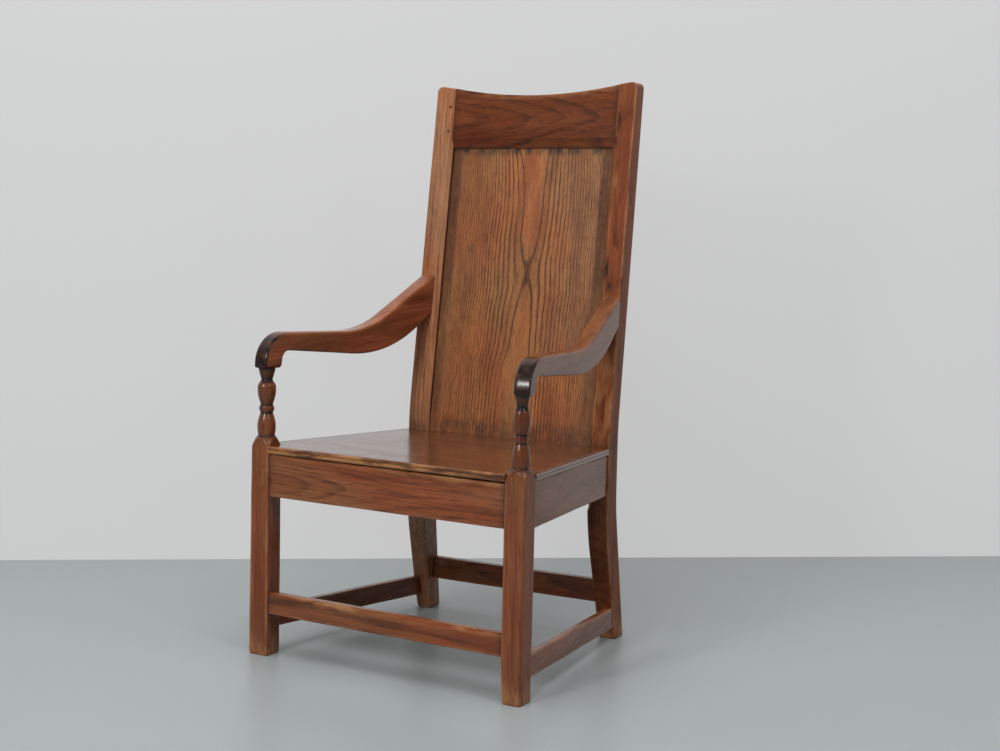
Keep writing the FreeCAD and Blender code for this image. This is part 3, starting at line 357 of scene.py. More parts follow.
def old_wood_group():
    """Colour, roughness and height of polished wood from a vector whose z runs along the grain."""
    group, given, result = new_group(
        "old_wood",
        {"Grain": "Vector", "Line": 0.5, "Pale": "Color", "Middle": "Color", "Dark": "Color", "Pores": 0.5,
         "Wear And Sheen": 0.0, "Worn Colour": "Color", "Grime And Shade": 0.0, "Polish": 0.3},
        {"Colour": "Color", "Roughness": 0.0, "Height": 0.0})
    link, calc, noise, ramp, mix = wire(group)
    grain, line = given.outputs["Grain"], given.outputs["Line"]
    flame = noise(grain, (26, 26, 2.6), 4, 0.55)
    fibres = noise(grain, (330, 330, 7), 3, 0.6)
    tint = noise(grain, (7, 7, 3), 2)
    body = mix(ramp(flame, 0.35, 0.68), given.outputs["Pale"], given.outputs["Middle"])
    body = mix(ramp(tint, 0.4, 0.62, 0.0, 0.7), body, (1.12, 0.76, 0.66, 1), "MULTIPLY")
    gold = noise(grain, (48, 48, 5), 3)
    body = mix(ramp(gold, 0.5, 0.7, 0.0, 0.6), body, (1.2, 1.32, 1.1, 1), "MULTIPLY")
    streaks = ramp(noise(grain, (150, 150, 3.2), 3, 0.6), 0.5, 0.72)
    line = calc("MULTIPLY_ADD", streaks, 0.3, line)
    tone = calc("MULTIPLY_ADD", ramp(fibres, 0.42, 0.72), 0.42, line, clamp=True)
    colour = mix(tone, body, given.outputs["Dark"])
    pores = ramp(noise(grain, (900, 900, 38), 1), 0.58, 0.7)
    pores = calc("MULTIPLY", pores, given.outputs["Pores"])
    colour = mix(pores, colour, (0.38, 0.32, 0.3, 1), "MULTIPLY")
    blotch = noise(grain, (17, 17, 6), 5, 0.65)
    colour = mix(ramp(blotch, 0.5, 0.74, 0.0, 0.55), colour, (0.48, 0.42, 0.42, 1), "MULTIPLY")
    # the wear mask lightens towards the worn colour, and on one stile it paints a sheen the same way
    rub_and_sheen = ramp(noise(grain, (75, 75, 16), 4, 0.6), 0.36, 0.62)
    rub_and_sheen = calc("MULTIPLY", given.outputs["Wear And Sheen"], rub_and_sheen, clamp=True)
    colour = mix(rub_and_sheen, colour, given.outputs["Worn Colour"])
    # the grime mask darkens towards near black, and on some pieces it paints shade in recesses the same
    # way
    patch = ramp(noise(grain, (90, 90, 50), 4, 0.6), 0.2, 0.55, 0.6, 1.0)
    dirt_and_shade = calc("MULTIPLY", given.outputs["Grime And Shade"], patch, clamp=True)
    colour = mix(dirt_and_shade, colour, (0.014, 0.009, 0.008, 1))
    link(colour, result.inputs["Colour"])
    smudge = noise(grain, (19, 19, 11), 4, 0.6)
    gloss = calc("MULTIPLY_ADD", ramp(smudge, 0.35, 0.7), 0.10, given.outputs["Polish"])
    gloss = calc("MULTIPLY_ADD", pores, 0.12, gloss)
    gloss = calc("MULTIPLY_ADD", dirt_and_shade, 0.08, gloss)
    link(calc("MULTIPLY_ADD", rub_and_sheen, 0.12, gloss), result.inputs["Roughness"])
    height = calc("MULTIPLY_ADD", pores, -0.7, calc("MULTIPLY", fibres, -0.35))
    height = calc("MULTIPLY_ADD", line, -0.3, height)
    link(calc("MULTIPLY_ADD", blotch, 1.2, height), result.inputs["Height"])
    return group


def growth_rings_group():
    """Dark late wood lines: distance from the pith, bent by two slow noises, divided by the spacing."""
    group, given, result = new_group(
        "growth_rings", {"Grain": "Vector", "Spacing": 0.008, "Strength": 0.5}, {"Line": 0.0})
    link, calc, noise, ramp, _ = wire(group)
    grain = given.outputs["Grain"]
    parts = group.nodes.new("ShaderNodeSeparateXYZ")
    link(grain, parts.inputs[0])
    x, y = parts.outputs[0], parts.outputs[1]
    radius = calc("SQRT", calc("MULTIPLY_ADD", x, x, calc("MULTIPLY", y, y)))
    radius = calc("MULTIPLY_ADD", noise(grain, (7, 7, 1.5), 2), 0.035, radius)
    radius = calc("MULTIPLY_ADD", noise(grain, (40, 40, 4), 2), 0.004, radius)
    turns = calc("DIVIDE", radius, given.outputs["Spacing"])
    phase = calc("FRACT", turns)
    late = calc("MULTIPLY", ramp(phase, 0.45, 0.92), ramp(phase, 1.0, 0.94))
    ring = group.nodes.new("ShaderNodeCombineXYZ")
    link(turns, ring.inputs[0])
    varied = ramp(noise(ring.outputs[0], (0.9, 1, 1), 1), 0.35, 0.65, 0.25, 1.0)
    broken = ramp(noise(grain, (110, 110, 5), 3, 0.6), 0.28, 0.6, 0.35, 1.0)
    broken = calc("MULTIPLY", broken, given.outputs["Strength"])
    link(calc("MULTIPLY", calc("MULTIPLY", late, varied), broken), result.inputs["Line"])
    return group


OLD_WOOD = old_wood_group()
GROWTH_RINGS = growth_rings_group()


def dressed(name, finish, specular=0.3, coat=0.15, coat_rough=0.1):
    """A polished wood material and its old wood group, with the values of its finish set."""
    material, tree, shader = new_material(name)
    shader.inputs["Coat Weight"].default_value = coat
    shader.inputs["Coat Roughness"].default_value = coat_rough
    shader.inputs["Specular IOR Level"].default_value = specular
    group = tree.nodes.new("ShaderNodeGroup")
    group.node_tree = OLD_WOOD
    for title, value in finish.items():
        group.inputs[title].default_value = value
    bump = tree.nodes.new("ShaderNodeBump")
    bump.inputs["Strength"].default_value = 0.3
    bump.inputs["Distance"].default_value = 0.0005
    tree.links.new(group.outputs["Height"], bump.inputs["Height"])
    tree.links.new(bump.outputs["Normal"], shader.inputs["Normal"])
    tree.links.new(group.outputs["Colour"], shader.inputs["Base Color"])
    tree.links.new(group.outputs["Roughness"], shader.inputs["Roughness"])
    return material, group


FRAME_FINISH = {
    "Pale": (0.250, 0.082, 0.030, 1),
    "Middle": (0.165, 0.045, 0.016, 1),
    "Dark": (0.045, 0.015, 0.008, 1),
    # also the colour of the painted sheen on the stile at the sitter's left
    "Worn Colour": (0.33, 0.145, 0.058, 1),
    "Pores": 0.7,
    "Polish": 0.2,
}


def wood(name, pith, turn, spacing=0.008, lines=0.55, gloss=(), masks=True, **finish):
    """Wood whose rings run round a line through the pith; turn brings the z axis to the grain.

    gloss may hold a specular level, a coat's weight and its roughness; masks reads the wear and grime,
    which on some pieces also hold painted sheen and painted shade.
    """
    finish = FRAME_FINISH | {title.replace("_", " "): value for title, value in finish.items()}
    material, group = dressed(name, finish, *gloss)
    tree = material.node_tree
    place = tree.nodes.new("ShaderNodeTexCoord")
    mapping = tree.nodes.new("ShaderNodeMapping")
    mapping.vector_type = "TEXTURE"
    mapping.inputs["Location"].default_value = pith
    mapping.inputs["Rotation"].default_value = [math.radians(angle) for angle in turn]
    rings = tree.nodes.new("ShaderNodeGroup")
    rings.node_tree = GROWTH_RINGS
    rings.inputs["Spacing"].default_value = spacing
    rings.inputs["Strength"].default_value = lines
    tree.links.new(place.outputs["Object"], mapping.inputs["Vector"])
    tree.links.new(mapping.outputs["Vector"], rings.inputs["Grain"])
    tree.links.new(mapping.outputs["Vector"], group.inputs["Grain"])
    tree.links.new(rings.outputs["Line"], group.inputs["Line"])
    if masks:
        for title, socket in (("wear_and_sheen", "Wear And Sheen"), ("grime_and_shade", "Grime And Shade")):
            layer = tree.nodes.new("ShaderNodeAttribute")
            layer.attribute_name = title
            tree.links.new(layer.outputs["Fac"], group.inputs[socket])
    return material


for name, side, square, arm_height, corner, taper, flare in (
        ("left", 1, 0.432, 0.576, 0.0085, 0.005, 0.0), ("right", -1, 0.440, 0.585, 0.003, 0.0, 0.0036)):
    leg = front_leg(f"leg_{name}", side, square, arm_height, corner, taper, flare)
    leg.data.materials.append(wood(
        f"leg_wood_{name}", (0.30 * side + 0.05, -0.22, 0.2), (1.5, -1.2, 0), spacing=0.0045, lines=0.4))
    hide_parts(f"front_leg_{name}")


# Back stiles: each sawn from a thick plank to one long curve, raked below the seat and leaning above it.
# The inner front arris is chamfered down to just under the seat, and the top ends in a rounded horn.
SEAT_TOP = 0.42
BACK = 0.475
LEAN = math.radians(7.07)
KINK = 0.460
HALF_BACK = 0.254
STILE_WIDTH = 0.049
STILE_DEPTH = 0.0425
HORN_ROUND = 0.016
CHAMFER = 0.0078
STILE_LEAN = math.tan(math.radians(0.31))
RAKE = math.tan(math.radians(12.2))
HEEL = 0.235
BACK_HEEL = 0.288
TOP = KINK + 0.7255 * math.cos(LEAN)
# place across the left stile and its height, then the knot's width, length and darkness
STILE_KNOTS = (
    (0.011, 0.795, 0.005, 0.022, 1.1),
    (0.021, 0.758, 0.006, 0.008, 1.0),
    (0.014, 1.105, 0.005, 0.022, 0.9),
    (0.010, 1.062, 0.005, 0.014, 0.9),
)


def smooth_bend(position, start, below, above_it, radius):
    """Two slopes that meet at a start, joined by a parabola as long as a round of the radius."""
    reach = radius * abs(above_it - below) / 2
    far = position - start
    blend = np.clip((far + reach) / (2 * reach), 0, 1)
    curve = below * (2 * blend - 1) * reach + (above_it - below) * reach * blend ** 2
    return np.where(np.abs(far) < reach, curve, np.where(far < 0, below * far, above_it * far))


def stile_front(height):
    """Depth of a stile's front face at a height: a raked foot, an upright middle and a leaning back."""
    return (BACK + smooth_bend(height, HEEL, -RAKE, 0.0, 0.45)
            + smooth_bend(height, KINK, 0.0, math.tan(LEAN), 0.6))


def stile_back(height):
    """Depth of a stile's back face at a height: its section thins from the seat to the top."""
    pitch = (HEEL * RAKE + 0.040 - STILE_DEPTH) / BACK_HEEL
    return (BACK + STILE_DEPTH + smooth_bend(height, BACK_HEEL, -pitch, 0.0, 0.45)
            + smooth_bend(height, KINK - 0.0026, 0.0, math.tan(LEAN) - 0.0104, 0.6))


def stile_inner(height):
    """Distance of a stile's inner face from the middle: a straight line that narrows towards the foot."""
    return HALF_BACK - STILE_WIDTH - height * STILE_LEAN + 0.011 * np.clip(1 - height / 0.31, 0, 1)


def back_stile(name, side):
    """Level rings whose front and back follow the two curves, up to a horn that slopes and rounds over.

    Above the crown the rings rise by a share of the horn's height at each point across the stile, then
    sink and shrink over the edge to the middle.
    """
    crown = TOP - 0.03
    heights = np.concatenate([[0, 0.0015, 0.004, 0.008], np.linspace(0.016, crown, 150)])
    edge = np.linspace(0, math.pi / 2, 6)
    lift = np.concatenate([np.linspace(0.2, 0.86, 5), np.ones(10)])
    sink = np.concatenate([np.zeros(5), 0.0024 * (1 - np.sin(edge)), np.zeros(4)])
    shrink = np.concatenate([np.ones(5), 1 - 0.12 * (1 - np.cos(edge)), [0.7, 0.5, 0.3, 0.1]])
    tall = np.concatenate([heights, np.full(len(lift), crown)])[:, None]
    inner = stile_inner(tall)
    outer = HALF_BACK - tall * STILE_LEAN - SHAVED
    inset = 0.002 * np.clip(1 - tall / 0.004, 0, 1)
    front = stile_front(tall) + inset
    back = stile_back(tall) - inset
    cut = 0.0005 + CHAMFER * np.clip((tall - 0.283) / 0.012, 0, 1)
    corners = np.stack([
        np.concatenate([outer - inset, front], 1),
        np.concatenate([outer - inset, back], 1),
        np.concatenate([inner + inset, back], 1),
        np.concatenate([inner + inset, front + cut], 1),
        np.concatenate([inner + inset + cut, front], 1),
    ], 1)
    radii = np.full((len(tall), 5), ARRIS)
    radii[:, 0] += 0.004 * np.clip(1 - tall[:, 0] / 0.04, 0, 1)
    radii[:, 3:] = 0.0003 + 0.0009 * (cut > 0.004)
    rings, near = rounded_rings(corners, radii, 5, 13)
    middle = rings.mean(1, keepdims=True)
    scale = np.concatenate([np.ones(len(heights)), shrink])[:, None, None]
    rings = middle + (rings - middle) * scale
    across = rings[..., 0] - inner
    beyond = np.clip(across - (STILE_WIDTH - HORN_ROUND), 0, HORN_ROUND - SHAVED)
    horn = 0.0317 + across * math.tan(math.radians(7.6))
    horn = horn - 0.97 * (HORN_ROUND - np.sqrt(HORN_ROUND ** 2 - beyond ** 2))
    rise = np.concatenate([np.zeros(len(heights)), lift])[:, None] * horn
    rise -= np.concatenate([np.zeros(len(heights)), sink])[:, None]
    y = rings[..., 1] + rise * (math.tan(LEAN) - 0.016)
    points = np.stack([side * rings[..., 0], y, tall + rise], -1)
    tall = points[..., 2]
    facing = rings[..., 1] < front + cut
    grime_and_shade = 0.4 * np.exp(-((tall - 0.425) / 0.012) ** 2)
    wear_and_sheen = 0.63 * near + 1.3 * np.clip(1 - tall / 0.06, 0, 1)
    if side > 0:
        for at, height, wide, long, depth in STILE_KNOTS:
            spot = np.exp(-((across - at) / wide) ** 2 - ((tall - height) / long) ** 2)
            grime_and_shade += facing * depth * spot
        scuff = np.exp(-((across - 0.019) / 0.006) ** 2 - ((tall - 0.977) / 0.016) ** 2)
        wear_and_sheen += 0.9 * facing * scuff
        # painted sheen: the front of this stile is lightened through the wear mask from the seat up to
        # about 0.66 m, standing in for a soft reflection
        wear_and_sheen += 0.5 * facing * np.clip((0.66 - tall) / 0.12, 0, 1) * (tall > SEAT_TOP)
    # painted shade: each stile's inner face between its chamfer and the panel is darkened through the
    # grime mask, for the shade in that recess
    shaded_inner_face = (across < 0.0007) & (rings[..., 1] > front + cut + 0.001) & (tall > SEAT_TOP)
    grime_and_shade += 0.9 * shaded_inner_face
    return skin(name, points, wear_and_sheen, grime_and_shade)


for name, side, shine, pale, middle in (
        ("left", 1, 0.1, (0.220, 0.075, 0.030, 1), (0.154, 0.047, 0.019, 1)),
        ("right", -1, 0.3, (0.390, 0.185, 0.092, 1), (0.270, 0.112, 0.052, 1))):
    stile = back_stile(f"stile_{name}", side)
    stile.data.materials.append(wood(
        f"stile_wood_{name}", (0.3 * side - 0.07, 0.42, 0.4), (-5, 1.5 * side, 0), spacing=0.006,
        lines=0.45, gloss=(shine, shine / 2), Pale=pale, Middle=middle))
    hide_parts(f"back_stile_{name}")


# Arms: each sawn to an S from one thick piece, its arrises eased, with a block below the hand that is
# bored for the round pin of its support. The front of the hand is black with handling.
ARM_NOSE = -0.0135  # the hand's front, before the axis of its support
HAND_TOP = 0.0665
UNDER_BEND = 0.352
ROOT_UNDER = 0.095
INTO_STILE = 0.012


def filleted(corners, radii, count=18):
    """A line through corners with an arc of each radius at the inner ones, and where its parts meet."""
    points = [corners[0]]
    knots = [0]
    for index in range(1, len(corners) - 1):
        here = corners[index]
        back = (corners[index - 1] - here) / np.linalg.norm(corners[index - 1] - here)
        on = (corners[index + 1] - here) / np.linalg.norm(corners[index + 1] - here)
        half = math.acos(np.clip(back @ on, -1, 1)) / 2
        reach = radii[index - 1] / math.tan(half)
        centre = here + (back + on) / np.linalg.norm(back + on) * radii[index - 1] / math.sin(half)
        first = here + back * reach - centre
        last = here + on * reach - centre
        sweep = math.pi - 2 * half
        share = np.linspace(0, 1, count)[:, None]
        arc = (np.sin((1 - share) * sweep) * first + np.sin(share * sweep) * last) / math.sin(sweep)
        arc = centre + arc
        knots += [len(points), len(points) + count - 1]
        points.extend(arc)
    points.append(corners[-1])
    return np.array(points), knots + [len(points) - 1]


def resampled(points, knots, counts):
    """Divides the stretch between each pair of knots into a number of equal steps."""
    far = np.concatenate([[0], np.cumsum(np.linalg.norm(np.diff(points, axis=0), axis=1))])
    marks = [np.linspace(far[a], far[b], count, endpoint=False)
             for a, b, count in zip(knots, knots[1:], counts)]
    marks = np.concatenate([*marks, [far[knots[-1]]]])
    return np.stack([np.interp(marks, far, points[:, axis]) for axis in (0, 1)], 1)


def arm(name, side, height, rise, bend, waist, fall, hand_back, lift):
    """Rings across a top line and an underside line, both in an upright plane that swings inwards.

    The rings stand square to the line halfway between the two. lift raises the hand.
    """
    joint = height + (rise + ROOT_UNDER) / 2
    depth = BACK + (joint - KINK) * math.tan(LEAN)
    outer = LEG_AXIS + 0.020
    swing = math.atan((outer - (HALF_BACK - joint * STILE_LEAN)) / (depth - LEG))
    reach = (depth - LEG) / math.cos(swing)
    end = reach + INTO_STILE
    top_slope = (rise - HAND_TOP + fall) / (reach - bend)
    under_slope = (ROOT_UNDER - waist) / (reach - UNDER_BEND)
    top, top_knots = filleted(np.array([
        (ARM_NOSE, 0),
        (ARM_NOSE, HAND_TOP + lift),
        (bend, HAND_TOP + 0.9 * lift - fall),
        (end, rise + INTO_STILE * top_slope),
    ]), [0.062, 0.26])
    under, under_knots = filleted(np.array([
        (hand_back, 0),
        (hand_back + 0.006, 0.032 + lift / 2),
        (UNDER_BEND, waist + lift / 3),
        (end, ROOT_UNDER + INTO_STILE * under_slope),
    ]), [0.019, 0.33])
    counts = (5, 30, 26, 30, 12)
    top = resampled(top, top_knots, counts)
    under = resampled(under, under_knots, counts)
    middle = (top + under) / 2
    up = top - under
    tall = np.linalg.norm(up, axis=1, keepdims=True)
    up = up / tall
    share = np.clip(middle[:, 0] / reach, 0, 1)
    wide = 0.033 + 0.004 * share
    order = np.arange(len(top))
    trim = 0.0018 * np.clip(1 - order / 2, 0, 1) ** 2
    half_tall = tall[:, 0] / 2 - trim
    corners = np.stack([
        np.stack([trim - wide, -half_tall], 1),
        np.stack([-trim, -half_tall], 1),
        np.stack([-trim, half_tall], 1),
        np.stack([trim - wide, half_tall], 1),
    ], 1)
    crisp = ARRIS + 0.0035 * np.clip(order / 60, 0, 1)
    grip = 0.003 * np.clip((45 - order) / 12, 0, 1)
    radii = np.stack([crisp * 0.8, crisp * 0.8, crisp, crisp + grip], 1)
    rings, near = rounded_rings(corners, radii, 6, 6)
    along = middle[:, None, 0] + up[:, None, 0] * rings[..., 1]
    raised = middle[:, None, 1] + up[:, None, 1] * rings[..., 1]
    inwards = -rings[..., 0]
    x = side * (outer - along * math.sin(swing) - inwards * math.cos(swing))
    y = LEG + along * math.cos(swing) - inwards * math.sin(swing)
    points = np.stack([x, y, height + raised], -1)
    front = np.clip((rings[..., 1] - half_tall[:, None] + 0.006) / 0.003, 0, 1)
    hand = np.clip((38 - order) / 16, 0, 1)[:, None]
    base = np.exp(-order / 2.0)[:, None]
    wear_and_sheen = 0.32 * near * (rings[..., 1] > 0) * np.clip(1 - hand, 0.3, 1)
    return skin(name, points, wear_and_sheen, 1.1 * front * hand + 0.3 * base)


# sizes: height, rise, bend, waist, fall, hand_back and lift
for name, side, pale, *sizes in (
        ("left", 1, 0.72, 0.576, 0.158, 0.300, 0.009, 0.0025, 0.015, 0.001),
        ("right", -1, 1.1, 0.585, 0.176, 0.284, 0.005, 0.007, 0.030, 0.0055)):
    piece = arm(f"arm_rest_{name}", side, *sizes)
    piece.data.materials.append(wood(
        f"arm_wood_{name}", (0.30 * side + 0.03, 0.0, 0.48), (-84, 0, 7 * side), lines=0.2, Polish=0.14,
        Pale=(0.27 * pale, 0.100 * pale, 0.046 * pale, 1),
        Middle=(0.165 * pale, 0.053 * pale, 0.024 * pale, 1), Dark=(0.085, 0.03, 0.015, 1)))
    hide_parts(f"arm_{name}")


# Crest rail: a board between the stiles, dished along its top and bevelled along its lower front edge.
# Its face is cut near the outside of the tree, so the rings show as long flames.
CREST_LOW = 0.5945
CREST_BEVEL = 0.6155
CREST_TOP = 0.7285
CREST_FACE = 0.005
CREST_REAR = 0.032
DISH = 0.020


def leaning(x, rise, depth):
    """A point of the leaning back: rise runs up its slope from the bend, depth behind its front."""
    y = BACK + rise * math.sin(LEAN) + depth * math.cos(LEAN)
    z = KINK + rise * math.cos(LEAN) - depth * math.sin(LEAN)
    return np.stack(np.broadcast_arrays(x, y, z), -1)


def crest_rail():
    """Upright outlines from side to side, their top on an arc of a circle that is a little flattened."""
    end = HALF_BACK - STILE_WIDTH - TOP * STILE_LEAN + 0.003
    x = np.linspace(-end, end, 90)
    radius = (0.2 ** 2 + DISH ** 2) / (2 * DISH)
    top = CREST_TOP - DISH + 0.002 * (1 - (x / end) ** 2) + radius - np.sqrt(radius ** 2 - x ** 2)
    one = np.ones(len(x))
    corners = np.stack([
        np.stack([one * (CREST_FACE + 0.006), one * CREST_LOW], 1),
        np.stack([one * CREST_REAR, one * CREST_LOW], 1),
        np.stack([one * CREST_REAR, top], 1),
        np.stack([one * CREST_FACE, top], 1),
        np.stack([one * CREST_FACE, one * CREST_BEVEL], 1),
    ], 1)
    rings, near = rounded_rings(corners, [0.001, 0.0015, 0.0035, 0.0035, 0.0015], 6, 8)
    points = leaning(x[:, None], rings[..., 1], rings[..., 0])
    ends = np.exp(-(end - np.abs(x)) / 0.004)[:, None]
    # the ends darken with grime in the joints with the stiles; the darkening along the bottom edge is
    # painted shade where the crest meets the panel
    lower = np.exp(-(rings[..., 1] - CREST_LOW) / 0.002)
    wear_and_sheen = 0.5 * near * (rings[..., 1] > (CREST_BEVEL + CREST_TOP) / 2)
    return skin("crest", points, wear_and_sheen, 0.6 * np.clip(ends + lower, 0, 1))


crest = crest_rail()
crest.data.materials.append(wood(
    "crest_wood", (-0.4, 0.335, 1.095), (0, 90, 4.5), spacing=0.0065, lines=0.75, gloss=(0.2,),
    Pale=(0.160, 0.045, 0.016, 1), Middle=(0.115, 0.030, 0.011, 1)))
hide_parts("crest_rail")


# Back panel: one wide board with bold growth rings, bevelled at both sides into the stiles' grooves.
# Its rings run straight up either side of a plain band, which narrows to a waist and opens again below.
# height, then the band's half width and its middle line
BAND = np.array([
    (0.400, 0.0410, 0.0030), (0.500, 0.0400, 0.0030), (0.564, 0.0340, 0.0030), (0.627, 0.0250, 0.0100),
    (0.683, 0.0215, 0.0115), (0.740, 0.0130, 0.0155), (0.765, 0.0050, 0.0145), (0.780, 0.0000, 0.0135),
    (0.795, 0.0055, 0.0125), (0.814, 0.0137, 0.0120), (0.843, 0.0205, 0.0125), (0.857, 0.0225, 0.0125),
    (0.890, 0.0236, 0.0150), (0.960, 0.0255, 0.0145), (1.045, 0.0370, 0.0085),
])
FAR_BAND = 0.0235  # the half width that rings far from the band still follow


def panel_wood():
    """The panel's material, its late wood lines worked out from the band.

    reach is the distance from the band's middle line, less the band's half width near it and FAR_BAND far
    from it, bent by two noises. A ring passes with each whole number of turns, closer towards the sides.
    """
    finish = FRAME_FINISH | {
        "Pale": (0.330, 0.145, 0.052, 1),
        "Middle": (0.245, 0.092, 0.034, 1),
        "Dark": (0.085, 0.032, 0.014, 1),
        "Pores": 0.6,
        "Polish": 0.3,
    }
    material, group = dressed("panel_wood", finish, coat=0.0)
    tree = material.node_tree
    link, calc, noise, ramp, _ = wire(tree)
    place = tree.nodes.new("ShaderNodeTexCoord").outputs["Object"]
    parts = tree.nodes.new("ShaderNodeSeparateXYZ")
    link(place, parts.inputs[0])
    height = parts.outputs["Z"]

    def traced(column):
        """A column of the band's table as a curve over the height."""
        node = tree.nodes.new("ShaderNodeFloatCurve")
        points = node.mapping.curves[0].points
        marks = BAND[:, [0, column]] * (1, 10) - (0.4, 0)
        points[0].location = marks[0]
        points[1].location = marks[-1]
        for mark in marks[1:-1]:
            points.new(*mark)
        node.mapping.update()
        link(calc("SUBTRACT", height, 0.4), node.inputs["Value"])
        return calc("MULTIPLY", node.outputs[0], 0.1)

    half = traced(1)
    middle = calc("ADD", traced(2), MIDDLE_X)
    middle = calc("MULTIPLY_ADD", calc("SUBTRACT", noise(place, (0, 0, 16), 2), 0.5), 0.003, middle)
    aside = calc("ABSOLUTE", calc("SUBTRACT", parts.outputs["X"], middle))
    fade = calc("EXPONENT", calc("MULTIPLY", calc("SUBTRACT", aside, half), -38.0))
    reach = calc("SUBTRACT", aside, calc("MULTIPLY", calc("SUBTRACT", half, FAR_BAND), fade))
    slow = calc("SUBTRACT", noise(place, (9, 9, 2.4), 3, 0.55), 0.5)
    reach = calc("MULTIPLY_ADD", slow, 0.009, reach)
    quick = calc("SUBTRACT", noise(place, (60, 60, 11), 2), 0.5)
    reach = calc("MULTIPLY_ADD", quick, 0.0012, reach)
    reach = calc("SUBTRACT", reach, FAR_BAND)
    turns = calc("ADD", calc("MULTIPLY", reach, calc("MULTIPLY_ADD", reach, 430.0, 60.0)), 0.88)
    phase = calc("FRACT", turns)
    # the rings next to the band are broad under its waist
    under_waist = calc("MULTIPLY", ramp(height, 0.64, 0.74), ramp(height, 0.795, 0.772))
    broad = calc("MULTIPLY", under_waist, ramp(reach, 0.016, 0.006))
    thin = calc("MULTIPLY_ADD", broad, -0.3, ramp(reach, 0.0, 0.1, 0.55, 0.32))
    late = calc("MULTIPLY", ramp(phase, thin, 0.92), ramp(phase, 1.0, 0.95))
    late = calc("MULTIPLY", late, ramp(reach, -0.004, -0.001))
    late = calc("MULTIPLY", late, ramp(reach, 0.02, 0.1, 1.0, 0.72))
    broken = ramp(noise(place, (60, 60, 6), 3, 0.6), 0.25, 0.6, 0.45, 1.0)
    bevel = ramp(calc("ABSOLUTE", calc("SUBTRACT", parts.outputs["X"], MIDDLE_X)), 0.171, 0.178)
    line = calc("MULTIPLY", calc("MULTIPLY", late, broken), ramp(bevel, 0.0, 1.0, 1.0, 0.15))
    link(line, group.inputs["Line"])
    link(place, group.inputs["Grain"])
    # grime lies above the seat and on the bevels, and a painted shadow darkens a broken band just under
    # the crest
    patch = ramp(noise(place, (45, 45, 30), 4, 0.65), 0.3, 0.62)
    above_seat = calc("MULTIPLY", ramp(height, 0.470, 0.434), patch)
    # painted shadow under the crest rail, broken up by a noise patch
    patch = ramp(noise(place, (38, 38, 20), 3), 0.42, 0.62)
    shadow_under_crest = calc("MULTIPLY", ramp(height, 1.026, 1.046), patch)
    grime_and_shadow = calc("MAXIMUM", calc("MULTIPLY", above_seat, 0.6), calc("MULTIPLY", shadow_under_crest, 0.9))
    side_dirt = calc("MULTIPLY", bevel, ramp(height, 0.62, 0.80, 0.3, 0.62))
    link(calc("MAXIMUM", grime_and_shadow, side_dirt), group.inputs["Grime And Shade"])
    rough = calc("MULTIPLY_ADD", bevel, 0.3, group.outputs["Roughness"])
    link(rough, tree.nodes["Principled BSDF"].inputs["Roughness"])
    return material


def finish_solid(node, material):
    """Gives a solid of the frame its material, and leaves its shape as it is."""
    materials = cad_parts[node].data.materials
    materials.clear()
    materials.append(material)


finish_solid("back_panel", panel_wood())


# Seat: one broad board notched round the posts, a bead scratched round its edge, its front rubbed pale.
SEAT = 0.430
SEAT_THICK = 0.015
SEAT_FALL = math.radians(1.2)
SEAT_PITCH = math.tan(SEAT_FALL)
SEAT_UNDER = SEAT - SEAT_THICK / math.cos(SEAT_FALL)
# the moulded edge, from the underside to the top: how far in from the outline, and how far down
SEAT_EDGE = (
    (0.0120, SEAT_THICK), (0.0040, SEAT_THICK), (0.0022, 0.0146), (0.0008, 0.0132), (0.0002, 0.0115),
    (0.0002, 0.0085), (0.0007, 0.0074), (0.0017, 0.0070), (0.0017, 0.0062), (0.0006, 0.0058),
    (0.0002, 0.0046), (0.0003, 0.0026), (0.0010, 0.0012), (0.0022, 0.0004), (0.0040, 0.0001),
    (0.0078, 0.0001), (0.0083, 0.0008), (0.0089, 0.0008), (0.0094, 0.0001), (0.0130, 0.0001),
)


def seat_outline(inset):
    """Corners of the board seen from above, its front and side edges drawn in by an inset."""
    leg_side, leg_back, stile_side, stile_front_y, hind = 0.2728, 0.0435, 0.2023, 0.4748, 0.4818
    half = [
        (leg_side, inset),
        (leg_side, leg_back),
        (0.316 - inset, leg_back),
        (0.25167 - inset, stile_front_y),
        (stile_side, stile_front_y),
        (stile_side, hind),
    ]
    return np.array(half + [(-x, y) for x, y in reversed(half)])


def seat_board():
    """Level rings from the underside round the moulded edge to the top, then shrinking to the middle."""
    step = np.linspace(0, 1, 14, endpoint=False)[:, None]
    rings = []
    for inset, drop in SEAT_EDGE:
        outline = seat_outline(inset)
        after = np.roll(outline, -1, 0)
        ring = (outline[:, None] * (1 - step) + after[:, None] * step).reshape(-1, 2)
        rings.append(np.concatenate([ring, np.full((len(ring), 1), -drop)], 1))
    rings = np.array(rings)
    middle = np.array([0, 0.24, 0])
    level = np.array([1, 1, 0])
    inner = [middle + (rings[-1] * level - middle) * share + [0, 0, -0.0001]
             for share in (0.9, 0.75, 0.5, 0.25, 0.05)]
    lower = [middle + (rings[0] * level - middle) * share + [0, 0, -SEAT_THICK] for share in (0.25, 0.6)]
    rings = np.concatenate([lower, rings, inner])
    plan = rings[..., 1]
    rings[..., 2] += SEAT - plan * SEAT_PITCH
    order = np.arange(len(rings))[:, None]
    front = np.exp(-np.abs(plan) / 0.006)
    wear_and_sheen = 1.1 * front * ((order > 3) & (order < 20))
    groove = 0.8 * np.isin(order, (9, 10, 19))
    return skin("seat", rings, wear_and_sheen, groove * (1 - 0.7 * front))


